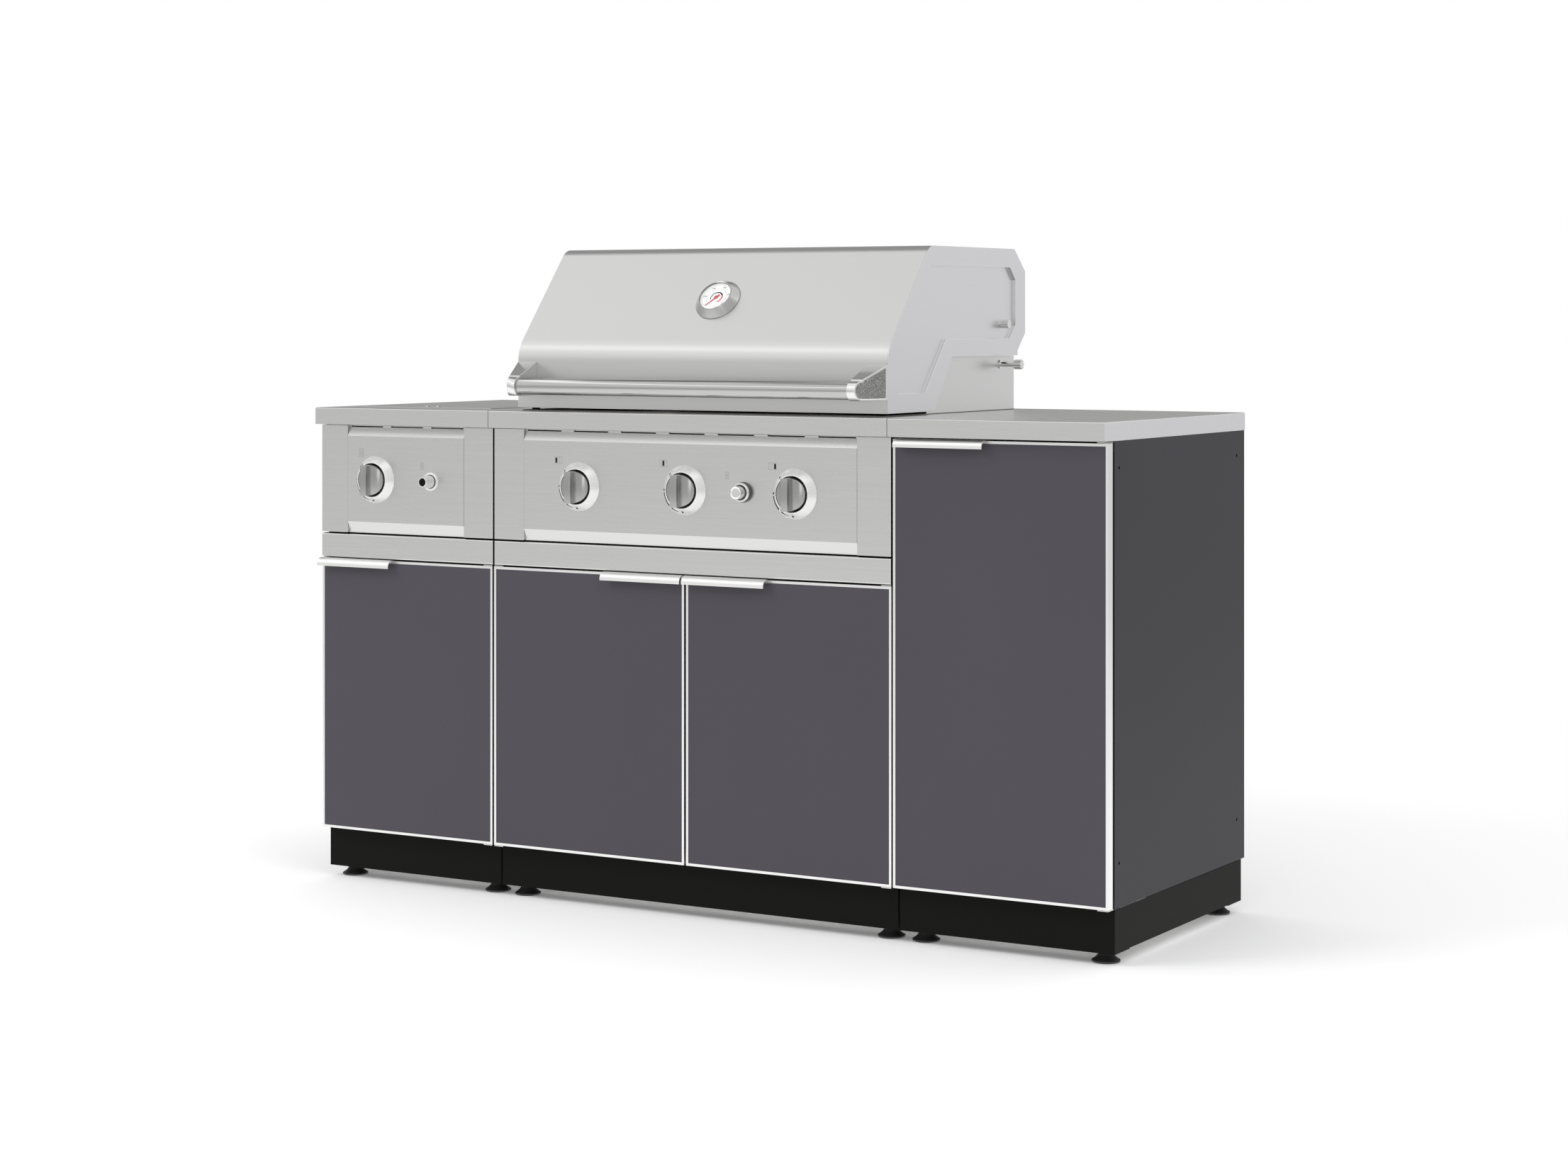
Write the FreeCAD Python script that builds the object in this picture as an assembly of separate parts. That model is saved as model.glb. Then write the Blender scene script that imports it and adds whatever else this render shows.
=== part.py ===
import FreeCAD, Part
import math
import os

os.makedirs("parts", exist_ok=True)
V = FreeCAD.Vector

# Outdoor kitchen island: a row of three cabinets on black plinths, with a steel counter,
# a gas grill under a hinged hood, a side burner under a flush lid, and four doors.
# The drawing is laid out from the island's left end, the counter's front edge and the floor.
# Sizes are in millimetres. +X runs to the right as seen from the front, +Y to the back.

# The three modules
OUTER_WIDTH = 406.4
MIDDLE_WIDTH = 838.2
DEPTH = 609.6
FOOT_HEIGHT = 20.4
PLINTH_HEIGHT = 75.6
CARCASS_HEIGHT = 774.0
COUNTER_THICK = 32.0

# Sheet metal
SHEET = 1.2
GRILL_SHEET = 1.5
FLANGE = 20.0
MODULE_GAP = 0.4
COUNTER_SEAM = 0.5
COUNTER_EDGE_RADIUS = 2.0
COUNTER_RETURN = 12.0

# Front faces, measured back from the counter's front edge
DOOR_FACE = 18.0
DOOR_THICK = 17.6
DOOR_BACK_GAP = 5.4
BACK_OVERHANG = 2.6

# Heights of the front
DOOR_REVEAL = 1.5
FASCIA_TOP_GAP = 1.5
FASCIA_HEIGHT = 204.5
RAIL_TOP_GAP = 2.8
RAIL_HEIGHT = 45.7
RAIL_DOOR_GAP = 2.5
TALL_DOOR_TOP_GAP = 3.8
FASCIA_SIDE_GAP = 1.8

# Doors
DOOR_GAP = 4.0
DOOR_END_GAP = 1.6
DOOR_FRAME_FACE = 4.7
DOOR_PANEL_SINK = 0.8
DOOR_PANEL_THICK = 15.0
DOOR_PIVOT_IN = 4.7
HINGE_PIN_R = 2.0
HINGE_PIN_GRIP = 4.2
BRACKET_SHEET = 1.5
BRACKET_GAP = 0.5
BRACKET_LENGTH = 20.0
BRACKET_LEG = 16.0
PULL_LENGTH = 170.0
PULL_LIP = 15.0
PULL_REACH = 17.0
PULL_SHEET = 1.5
PULL_BEND = 12.0
RAIL_BEND = 3.0
CATCH_SIZE = (40.0, 12.0)
CATCH_GAP = 0.4

# Running fits
RUNNING_FIT = 0.05
SEAT_GAP = 0.3

# Plinths and feet
PLINTH_FRONT = 44.0
PLINTH_BACK = 594.0
PLINTH_SIDE_GAP = 1.5
PLINTH_SHEET = 1.5
PLINTH_FOOT_FLANGE = 60.0
FOOT_RADIUS = 24.5
FOOT_IN_X = 34.0
FOOT_IN_Y = 36.0
FOOT_STEM_R = 5.0

# Side panels' bolt holes, used to bolt modules and end panels together
BOLT_R = 3.0
BOLT_FRONT = 59.0
BOLT_LOW = 170.0
BOLT_BACK_INSET = 36.0
BOLT_TOP_INSET = 45.0
BOLT_SHANK_R = 2.8
BOLT_HEAD_R = 6.0
BOLT_HEAD_THICK = 4.0

# Shelf in the tall cabinet
SHELF_HEIGHT = 380.0
SHELF_THICK = 20.0
SHELF_CLEAR = 3.0
PEG_R = 3.0
PEG_LENGTH = 12.0

# Control plates
PLATE_LEFT_SPAN = (64.0, 338.0)
STILE_WIDTH = 66.4
PLATE_JOINT = 0.3
BEVEL_DEPTH = 6.0
TOP_BEVEL = 16.8
BOTTOM_BEVEL = 21.0
PLATE_TOP_DROP = 5.0
VENT_LENGTH = 75.0
VENT_HEIGHT = 3.4
VENT_END_GAP = 5.0
MIDDLE_VENTS = 7
LEFT_VENTS = 3

# Burner controls
CONTROL_DROP = 136.0
MAIN_KNOB_INSET = 123.5
LEFT_KNOB_X = 131.5
LEFT_IGNITER_X = 263.0
MAIN_IGNITER_SHIFT = 7.8
BEZEL_R = 44.5
BEZEL_MOUTH_R = 33.5
BEZEL_HEIGHT = 14.0
BEZEL_BORE_R = 31.6
KNOB_R = 30.0
KNOB_SKIRT_BACK = 6.0
KNOB_LENGTH = 29.0
GRIP_HALF = 8.5
GRIP_SCOOP_R = 24.0
PUSH_TRAVEL = 4.0
STEM_R = 4.0
STEM_FLAT = 1.2
STEM_GRIP = 16.0
VALVE_SIZE = 26.0
VALVE_FRONT = 12.0
VALVE_NECK_R = 10.0
VALVE_GRIP = 14.0
MANIFOLD_R = 10.0
MANIFOLD_BACK = 48.0
INLET_R = 8.0
INLET_LENGTH = 24.0
INLET_BACK_GAP = 46.0
SUPPLY_SIDE_GAP = 3.0
HOSE_HOLE_R = 19.0
NOZZLE_R = 4.0
NOZZLE_LENGTH = 8.0
NOZZLE_AIR_GAP = 3.0
IGNITER_COLLAR_R = 17.5
SIDE_BORE_R = 12.4
SIDE_COLLAR_HEIGHT = 5.0
SIDE_BUTTON_R = 12.0
SIDE_BUTTON_REACH = 29.0
MAIN_BORE_R = 12.9
MAIN_COLLAR_HEIGHT = 15.5
MAIN_BUTTON_R = 10.7
MAIN_BUTTON_REACH = 25.0
IGNITER_TRAVEL = 5.0
IGNITER_GUIDE_R = 5.0
IGNITER_GUIDE_LENGTH = 20.0
IGNITER_CLIP_R = 7.0
IGNITER_CLIP_THICK = 2.0

# Hood, from the middle module's ends and the counter's front edge and top
HOOD_GAP_LEFT = 33.6
HOOD_GAP_RIGHT = 24.6
HOOD_FRONT = 48.7
HOOD_LIFT = 5.5
HOOD_KNEE = 113.5
HOOD_KNEE_R = 60.0
HOOD_CROWN_Y = 204.0
HOOD_CROWN_R = 35.0
HOOD_TOP = 299.5
HOOD_TOP_BACK = 543.0
HOOD_BACK = 588.0
HOOD_BACK_TOP = 258.6
HOOD_BACK_LOW = 142.7
HOOD_SKIRT_BACK = 556.0
HOOD_SKIRT_LOW = 101.0
HOOD_NOTCH_TOP_Y = 291.0
HOOD_NOTCH_LOW_Y = 221.0
HOOD_RECESS = 6.0
RECESS_FRONT = 38.0
RECESS_LIFT = 32.0
RECESS_NOTCH_LOW = 32.6
RECESS_NOTCH_TOP = 22.5
RECESS_NOTCH_RISE = 31.0
RECESS_TOP_DROP = 33.0
RECESS_BACK = 39.5
RECESS_CORNER = 23.0
RECESS_BACK_RISE = 12.3
RECESS_BACK_DROP = 56.5

# Hood hinge and handle
PIVOT_BACK_INSET = 39.4
PIVOT_UP = 85.1
PIVOT_PIN_R = 4.5
PIVOT_PIN_REACH = 45.0
PIVOT_HEAD_R = 9.0
PIVOT_HEAD_LENGTH = 14.0
THUMB_UP = 159.9
THUMB_R = 8.5
THUMB_BORE_DEPTH = 40.0
THUMB_LENGTH = 17.0
ARM_SHEET = 3.0
ARM_WIDTH = 20.0
ARM_GAP = 1.5
ARM_BLOCK_LOW = 67.0
ARM_BLOCK_HIGH = 100.0
HANDLE_UP = 46.0
HANDLE_R = 15.5
HANDLE_NOSE_R = 17.5
HANDLE_OUT = 54.7
HANDLE_COLLAR = 22.5
HANDLE_FLARE = 19.5
HANDLE_ROOT_HEIGHT = 90.0

# Thermometer on the hood's slope
DIAL_UP_SLOPE = 116.3
GAUGE_R = 44.0
GAUGE_MOUTH_R = 34.5
GAUGE_HEIGHT = 15.0
GAUGE_BORE_R = 32.5
DIAL_SINK = 7.0
GLASS_THICK = 2.0
NEEDLE_LENGTH = 24.0
NEEDLE_TAIL = 8.0
NEEDLE_PIN_R = 1.5

# Fixed grill body
BODY_STEP = 8.0
BODY_FRONT_LOW = 205.0
BODY_FRONT_HIGH = 282.0
BODY_SIDE_UP = 112.0
BODY_BACK_UP = 55.0
FIREBOX_SIDE_IN = 30.0
FIREBOX_FRONT = 100.0
FIREBOX_BACK = 538.0
FIREBOX_DEPTH = 261.5
FIREBOX_WALL_UP = 262.0
FIREBOX_FLANGE_FRONT = 52.0
CUTOUT_LIP = 10.0
GRATE_DROP = 12.0
GRATE_THICK = 8.0
GRATE_COUNT = 3
GRATE_GAP = 1.0
GRATE_SLOTS = 11
GRATE_BORDER = 12.0
GRATE_BAR = 8.0
LEDGE_DEPTH = 14.0
TAMER_DROP = 84.0
TAMER_HALF = 62.0
TAMER_RISE = 34.0
BURNER_R = 16.0
BURNER_BELL_R = 21.0
BURNER_WALL = 1.5
BURNER_BELL_LENGTH = 12.0
BURNER_PORTS = 5
BURNER_PORT_LENGTH = 50.0
RACK_UP = 150.0
RACK_FRONT = 330.0
RACK_BACK = 500.0
RACK_THICK = 5.0
RACK_SLOTS = 16
RACK_LEG = 6.0

# Drip tray under the firebox
TRAY_WIDTH = 250.0
TRAY_FRONT = 200.0
TRAY_LENGTH = 240.0
TRAY_DEPTH = 40.0
TRAY_RIM = 8.0
TRAY_DROP = 12.5
TRAY_TRAVEL = 120.0
DRAIN_SIZE = (200.0, 60.0)

# Side burner
SIDE_LID_X = (60.0, 346.0)
SIDE_LID_Y = (90.0, 516.0)
SIDE_LID_RISE = 0.8
SIDE_LID_SKIRT = 10.0
SIDE_LID_GAP = 2.0
SIDE_LID_BACK_GAP = 4.5
SIDE_PIVOT_IN = 8.0
SIDE_PIVOT_R = 3.0
SIDE_RIM = 8.0
SIDE_RIM_THICK = 0.8
BOWL_DEPTH = 90.0
STUD_X = (180.0, 206.0)
STUD_Y = 115.0
STUD_R = 5.0
STUD_HEIGHT = 2.4
POT_GRATE = 220.0
POT_GRATE_DROP = 22.0
POT_GRATE_THICK = 6.0
REST_SIZE = 8.0
REST_BACK_GAP = 52.0
RING_R = 46.0
RING_HEIGHT = 46.0
CAP_HEIGHT = 10.0
MIXER_R = 11.0
MIXER_FIT = 0.2
MIXER_DROP = 30.0
RING_FOOT = 10.0
POT_HOLE_CLEAR = 8.0

# Levels and planes that follow from the sizes above
LEFT = (0.0, OUTER_WIDTH)
MIDDLE = (OUTER_WIDTH, OUTER_WIDTH + MIDDLE_WIDTH)
RIGHT = (MIDDLE[1], MIDDLE[1] + OUTER_WIDTH)
WIDTH = RIGHT[1]
CARCASS_BOTTOM = FOOT_HEIGHT + PLINTH_HEIGHT
COUNTER_BOTTOM = CARCASS_BOTTOM + CARCASS_HEIGHT
COUNTER_TOP = COUNTER_BOTTOM + COUNTER_THICK
CARCASS_FRONT = DOOR_FACE + DOOR_THICK + DOOR_BACK_GAP
CARCASS_BACK = DEPTH - BACK_OVERHANG
SIDE_BACK = CARCASS_BACK - SHEET
BOLT_SPACING_Y = CARCASS_BACK - BOLT_BACK_INSET - BOLT_FRONT
BOLT_SPACING_Z = COUNTER_BOTTOM - BOLT_TOP_INSET - BOLT_LOW
FASCIA_TOP = COUNTER_BOTTOM - FASCIA_TOP_GAP
FASCIA_BOTTOM = FASCIA_TOP - FASCIA_HEIGHT
RAIL_TOP = FASCIA_BOTTOM - RAIL_TOP_GAP
RAIL_BOTTOM = RAIL_TOP - RAIL_HEIGHT
DOOR_BOTTOM = CARCASS_BOTTOM + DOOR_REVEAL
LOW_DOOR_TOP = RAIL_BOTTOM - RAIL_DOOR_GAP
TALL_DOOR_TOP = COUNTER_BOTTOM - TALL_DOOR_TOP_GAP
FLOOR_TOP = CARCASS_BOTTOM + FLANGE
CONTROL_Z = COUNTER_TOP - CONTROL_DROP
MIDDLE_X = (MIDDLE[0] + MIDDLE[1]) / 2
PLATE_MIDDLE_SPAN = (MIDDLE[0] + FASCIA_SIDE_GAP + STILE_WIDTH, MIDDLE[1] - FASCIA_SIDE_GAP - STILE_WIDTH)
MAIN_KNOBS = [PLATE_MIDDLE_SPAN[0] + MAIN_KNOB_INSET, MIDDLE_X, PLATE_MIDDLE_SPAN[1] - MAIN_KNOB_INSET]
MAIN_IGNITER_X = (MAIN_KNOBS[1] + MAIN_KNOBS[2]) / 2 + MAIN_IGNITER_SHIFT
VALVE_Y = DOOR_FACE + VALVE_FRONT
MANIFOLD_Y = DOOR_FACE + MANIFOLD_BACK
HOOD_LEFT = MIDDLE[0] + HOOD_GAP_LEFT
HOOD_RIGHT = MIDDLE[1] - HOOD_GAP_RIGHT
HOOD_MIDDLE = (HOOD_LEFT + HOOD_RIGHT) / 2
BODY_LEFT = HOOD_LEFT + BODY_STEP
BODY_RIGHT = HOOD_RIGHT - BODY_STEP
FIREBOX_LEFT = HOOD_LEFT + FIREBOX_SIDE_IN
FIREBOX_RIGHT = HOOD_RIGHT - FIREBOX_SIDE_IN
FIREBOX_BOTTOM = COUNTER_TOP - FIREBOX_DEPTH
RIM_TOP = COUNTER_TOP + GRILL_SHEET
PIVOT_Y = FIREBOX_BACK - PIVOT_BACK_INSET
SUPPLY_X = FIREBOX_RIGHT + GRILL_SHEET + SUPPLY_SIDE_GAP + MANIFOLD_R
INLET_END = SIDE_BACK - INLET_BACK_GAP
HANDLE_Y = HOOD_FRONT - HANDLE_OUT
ISLAND_FRONT = HANDLE_Y - HANDLE_NOSE_R
SHIFT = V(-WIDTH / 2, -(ISLAND_FRONT + DEPTH) / 2, 0)


# Drawing helpers
def box(x0, x1, y0, y1, z0, z1):
    return Part.makeBox(x1 - x0, y1 - y0, z1 - z0, V(x0, y0, z0))


def rod(start, direction, radius, length):
    return Part.makeCylinder(radius, length, V(*start), V(*direction))


def unit(a, b):
    length = math.hypot(b[0] - a[0], b[1] - a[1])
    return ((b[0] - a[0]) / length, (b[1] - a[1]) / length)


def in_space(point, axis, at):
    """A drawn point on the plane at a station of the axis: x takes (y, z), y (x, z), z (x, y)."""
    u, v = point
    return {"x": V(at, u, v), "y": V(u, at, v), "z": V(u, v, at)}[axis]


def corner_arc(before, corner, after, radius):
    """Start, middle and end of the arc that rounds a corner."""
    to_before, to_after = unit(corner, before), unit(corner, after)
    half = math.acos(max(-1, min(1, to_before[0] * to_after[0] + to_before[1] * to_after[1]))) / 2
    reach = radius / math.tan(half)
    middle = (to_before[0] + to_after[0], to_before[1] + to_after[1])
    size = math.hypot(*middle)
    inset = radius / math.sin(half) - radius
    start = (corner[0] + to_before[0] * reach, corner[1] + to_before[1] * reach)
    end = (corner[0] + to_after[0] * reach, corner[1] + to_after[1] * reach)
    top = (corner[0] + middle[0] / size * inset, corner[1] + middle[1] / size * inset)
    return start, top, end


def outline(points, axis, at):
    """Closed wire through (u, v) corners; a third value rounds that corner."""
    edges = []
    count = len(points)
    arcs = []
    for i, point in enumerate(points):
        radius = point[2] if len(point) > 2 else 0
        if radius > 0:
            arcs.append(corner_arc(points[i - 1][:2], point[:2], points[(i + 1) % count][:2], radius))
        else:
            arcs.append((point[:2], None, point[:2]))
    for i, (start, top, end) in enumerate(arcs):
        if top:
            edges.append(Part.Arc(*[in_space(p, axis, at) for p in (start, top, end)]).toShape())
        following = arcs[(i + 1) % count][0]
        if math.hypot(following[0] - end[0], following[1] - end[1]) > 1e-6:
            edges.append(Part.makeLine(in_space(end, axis, at), in_space(following, axis, at)))
    return Part.Wire(edges)


def prism(points, axis, start, end, holes=()):
    """Solid with a drawn section, from one station of an axis to another."""
    wires = [outline(points, axis, start)] + [outline(hole, axis, start) for hole in holes]
    face = Part.Face(wires[0]) if len(wires) == 1 else Part.makeFace(wires, "Part::FaceMakerBullseye")
    direction = {"x": V(1, 0, 0), "y": V(0, 1, 0), "z": V(0, 0, 1)}[axis]
    return face.extrude(direction * (end - start))


def rectangle(u0, u1, v0, v1, radius=0):
    return [(u0, v0, radius), (u1, v0, radius), (u1, v1, radius), (u0, v1, radius)]


def hexagon(u, v, radius):
    turns = [math.pi * i / 3 for i in range(6)]
    return [(u + radius * math.cos(turn), v + radius * math.sin(turn)) for turn in turns]


def beside(points, distance):
    """A mitred copy of an open line, to the left of its direction."""
    moved = []
    for i, point in enumerate(points):
        ways = []
        if i > 0:
            ways.append(unit(points[i - 1], point))
        if i < len(points) - 1:
            ways.append(unit(point, points[i + 1]))
        normals = [(-way[1], way[0]) for way in ways]
        first, last = normals[0], normals[-1]
        share = distance / (1 + first[0] * last[0] + first[1] * last[1])
        moved.append((point[0] + (first[0] + last[0]) * share, point[1] + (first[1] + last[1]) * share))
    return moved


def folded(points, thick, axis, start, end):
    """Bent sheet: a line of (u, v, bend radius) given its thickness on the left."""
    line = [point[:2] for point in points]
    inner = beside(line, thick)
    far_side = []
    for i, point in enumerate(points):
        radius = point[2] if len(point) > 2 else 0
        if radius > 0:
            way_in, way_out = unit(line[i - 1], line[i]), unit(line[i], line[i + 1])
            turns_left = way_in[0] * way_out[1] - way_in[1] * way_out[0] > 0
            radius = radius - thick if turns_left else radius + thick
        far_side.append((inner[i][0], inner[i][1], max(radius, 0)))
    return prism(list(points) + far_side[::-1], axis, start, end)


def turned(profile, start, direction, across):
    """Solid of revolution: (radius, distance along the axis) corners about an axis."""
    along, out = V(*direction), V(*across)
    origin = V(*start)
    points = [origin + out * r + along * d for r, d in profile]
    face = Part.Face(Part.makePolygon(points + [points[0]]))
    return face.revolve(origin, along, 360)


def mirrored(shape, middle_x):
    return shape.mirror(V(middle_x, 0, 0), V(1, 0, 0))


def fused(shapes):
    return shapes[0].multiFuse(shapes[1:]).removeSplitter() if len(shapes) > 1 else shapes[0]


def save(name, shapes):
    """Write a node: its solids, moved to the part's own frame."""
    solids = []
    for shape in shapes:
        solids += shape.Solids
    whole = Part.makeCompound(solids) if len(solids) > 1 else solids[0]
    whole.translate(SHIFT)
    whole.exportStep("parts/" + name + ".step")
    state = "valid" if whole.isValid() else "INVALID"
    print(name, len(solids), round(whole.Volume / 1000.0, 1), "cm3", state)


# Cabinets
def cabinet_side(outer_x, inwards):
    """Channel of sheet: a flat wall with a return at the front and at the back."""
    wall = outer_x + inwards * SHEET
    lip = outer_x + inwards * FLANGE
    section = [
        (outer_x, CARCASS_FRONT), (lip, CARCASS_FRONT), (lip, CARCASS_FRONT + SHEET),
        (wall, CARCASS_FRONT + SHEET), (wall, SIDE_BACK - SHEET), (lip, SIDE_BACK - SHEET),
        (lip, SIDE_BACK), (outer_x, SIDE_BACK),
    ]
    panel = prism(section, "z", CARCASS_BOTTOM, COUNTER_BOTTOM)
    holes = [
        rod((outer_x - inwards, y, z), (inwards, 0, 0), BOLT_R, SHEET + 2)
        for y in (BOLT_FRONT, BOLT_FRONT + BOLT_SPACING_Y)
        for z in (BOLT_LOW, BOLT_LOW + BOLT_SPACING_Z)
    ]
    return panel.cut(Part.makeCompound(holes))


def pipe_hole(x):
    """Hole where the gas pipe crosses the two walls between the left and middle cabinets."""
    return rod((x - FLANGE, MANIFOLD_Y, CONTROL_Z), (1, 0, 0), MANIFOLD_R + SEAT_GAP, 2 * FLANGE)


def module_bolts():
    """Bolt with its nut through each pair of facing holes, drawing two cabinets together."""
    bolts = []
    for seam in (LEFT[1], RIGHT[0]):
        x = seam - MODULE_GAP - SHEET
        grip = 2 * (MODULE_GAP + SHEET)
        for y in (BOLT_FRONT, BOLT_FRONT + BOLT_SPACING_Y):
            for z in (BOLT_LOW, BOLT_LOW + BOLT_SPACING_Z):
                bolts.append(fused([
                    prism(hexagon(y, z, BOLT_HEAD_R), "x", x - BOLT_HEAD_THICK, x),
                    rod((x, y, z), (1, 0, 0), BOLT_SHANK_R, grip),
                    prism(hexagon(y, z, BOLT_HEAD_R), "x", x + grip, x + grip + BOLT_HEAD_THICK),
                ]))
    return bolts


def cabinet_sides():
    sides = []
    for module in (LEFT, MIDDLE, RIGHT):
        sides.append(cabinet_side(module[0] + MODULE_GAP, 1))
        sides.append(cabinet_side(module[1] - MODULE_GAP, -1))
    crossing = pipe_hole(MIDDLE[0])
    return [side.cut(crossing) for side in sides]


def cabinet_floor(module):
    """Upturned tray between the side walls."""
    x0, x1 = module[0] + MODULE_GAP + SHEET, module[1] - MODULE_GAP - SHEET
    y0, y1 = CARCASS_FRONT + SHEET, SIDE_BACK - SHEET
    tray = box(x0, x1, y0, y1, CARCASS_BOTTOM, FLOOR_TOP)
    return tray.cut(box(x0 + SHEET, x1 - SHEET, y0 + SHEET, y1 - SHEET, CARCASS_BOTTOM, FLOOR_TOP - SHEET))


def cabinet_back(module):
    """Back sheet; the middle one has a hole for the gas hose, in line with the inlet."""
    x0, x1 = module[0] + MODULE_GAP, module[1] - MODULE_GAP
    sheet = box(x0, x1, SIDE_BACK, CARCASS_BACK, CARCASS_BOTTOM, COUNTER_BOTTOM)
    return sheet.cut(rod((SUPPLY_X, SIDE_BACK, CONTROL_Z), (0, 1, 0), HOSE_HOLE_R, SHEET))


def foot_places():
    rows = (PLINTH_FRONT + FOOT_IN_Y, PLINTH_BACK - FOOT_IN_Y)
    return [(x, y) for m in (LEFT, MIDDLE, RIGHT) for x in (m[0] + FOOT_IN_X, m[1] - FOOT_IN_X) for y in rows]


def plinth_boards():
    """Front and back boards with a flange for the feet, and flat end boards between them."""
    boards = []
    low, high = FOOT_HEIGHT, CARCASS_BOTTOM
    stems = Part.makeCompound([rod((x, y, 0), (0, 0, 1), FOOT_STEM_R + 0.2, high) for x, y in foot_places()])
    for module in (LEFT, MIDDLE, RIGHT):
        x0, x1 = module[0] + PLINTH_SIDE_GAP, module[1] - PLINTH_SIDE_GAP
        front = [(PLINTH_FRONT + FLANGE, high), (PLINTH_FRONT, high), (PLINTH_FRONT, low),
                 (PLINTH_FRONT + PLINTH_FOOT_FLANGE, low)]
        back = [(PLINTH_BACK - PLINTH_FOOT_FLANGE, low), (PLINTH_BACK, low), (PLINTH_BACK, high),
                (PLINTH_BACK - FLANGE, high)]
        boards += [folded(line, PLINTH_SHEET, "x", x0, x1).cut(stems) for line in (front, back)]
        for x in (x0, x1 - PLINTH_SHEET):
            boards.append(box(x, x + PLINTH_SHEET, PLINTH_FRONT + PLINTH_SHEET, PLINTH_BACK - PLINTH_SHEET,
                              low + PLINTH_SHEET, high - PLINTH_SHEET))
    return boards


def levelling_feet():
    """Screw-in foot: a wide pad that tapers to the plinth's flange, and a stem through its hole."""
    pad_edge, top_r, stem_top = 4.0, 12.0, FOOT_HEIGHT + 18.0
    profile = [
        (0, 0), (FOOT_RADIUS, 0), (FOOT_RADIUS, pad_edge), (top_r, FOOT_HEIGHT), (FOOT_STEM_R, FOOT_HEIGHT),
        (FOOT_STEM_R, stem_top), (0, stem_top),
    ]
    return [turned(profile, (x, y, 0), (0, 0, 1), (1, 0, 0)) for x, y in foot_places()]


def cross_rails():
    """Folded rail across the front, under the control panel."""
    rails = []
    for module in (LEFT, MIDDLE):
        line = [(CARCASS_FRONT, RAIL_TOP), (DOOR_FACE, RAIL_TOP, RAIL_BEND),
                (DOOR_FACE, RAIL_BOTTOM, RAIL_BEND), (CARCASS_FRONT, RAIL_BOTTOM)]
        rails.append(folded(line, SHEET, "x", module[0] + FASCIA_SIDE_GAP, module[1] - FASCIA_SIDE_GAP))
    return rails


def stile(x0, x1):
    line = [(x0, CARCASS_FRONT), (x0, DOOR_FACE), (x1, DOOR_FACE), (x1, CARCASS_FRONT)]
    return folded(line, SHEET, "z", FASCIA_BOTTOM, FASCIA_TOP)


def fascia_stiles():
    return [
        stile(LEFT[0] + FASCIA_SIDE_GAP, PLATE_LEFT_SPAN[0]),
        stile(PLATE_LEFT_SPAN[1], LEFT[1] - FASCIA_SIDE_GAP),
        stile(MIDDLE[0] + FASCIA_SIDE_GAP, PLATE_MIDDLE_SPAN[0]),
        stile(PLATE_MIDDLE_SPAN[1], MIDDLE[1] - FASCIA_SIDE_GAP),
    ]


def control_plate(span, vents, knobs, igniter):
    """Plate with a bevel along its top and bottom, a row of vents from end to end and holes for controls."""
    top, face, back = COUNTER_BOTTOM - PLATE_TOP_DROP, DOOR_FACE, DOOR_FACE + BEVEL_DEPTH
    line = [
        (CARCASS_FRONT, FASCIA_BOTTOM), (back, FASCIA_BOTTOM), (face, FASCIA_BOTTOM + BOTTOM_BEVEL),
        (face, top - TOP_BEVEL), (back, top), (back, FASCIA_TOP), (CARCASS_FRONT, FASCIA_TOP),
    ]
    x0, x1 = span[0] + PLATE_JOINT, span[1] - PLATE_JOINT
    plate = folded([point for point in reversed(line)], SHEET, "x", x0, x1)
    first, last = span[0] + VENT_END_GAP + VENT_LENGTH / 2, span[1] - VENT_END_GAP - VENT_LENGTH / 2
    cuts = []
    for i in range(vents):
        x = first + i * (last - first) / (vents - 1)
        cuts.append(box(x - VENT_LENGTH / 2, x + VENT_LENGTH / 2, back - SHEET, back + 2 * SHEET,
                        FASCIA_TOP - VENT_HEIGHT, FASCIA_TOP + SHEET))
    hole_y = DOOR_FACE - SHEET
    cuts += [rod((x, hole_y, CONTROL_Z), (0, 1, 0), STEM_R * 2, 3 * SHEET) for x in knobs]
    cuts.append(rod((igniter, hole_y, CONTROL_Z), (0, 1, 0), IGNITER_GUIDE_R + RUNNING_FIT, 3 * SHEET))
    return plate.cut(Part.makeCompound(cuts))


def countertop(x0, x1, hole=None):
    """Steel tray turned upside down, with returns round its lower edge."""
    top = box(x0, x1, 0, DEPTH, COUNTER_BOTTOM, COUNTER_TOP)
    edges = [e for e in top.Edges if abs(e.CenterOfMass.z - COUNTER_TOP) < 0.01]
    top = top.makeFillet(COUNTER_EDGE_RADIUS, edges)
    inside = box(x0 + SHEET, x1 - SHEET, SHEET, DEPTH - SHEET, COUNTER_BOTTOM + SHEET, COUNTER_TOP - SHEET)
    below = box(x0 + COUNTER_RETURN, x1 - COUNTER_RETURN, COUNTER_RETURN, DEPTH - COUNTER_RETURN,
                COUNTER_BOTTOM, COUNTER_BOTTOM + SHEET)
    top = top.cut(Part.makeCompound([inside, below]))
    return top.cut(box(*hole, COUNTER_BOTTOM, COUNTER_TOP)) if hole else top


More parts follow.
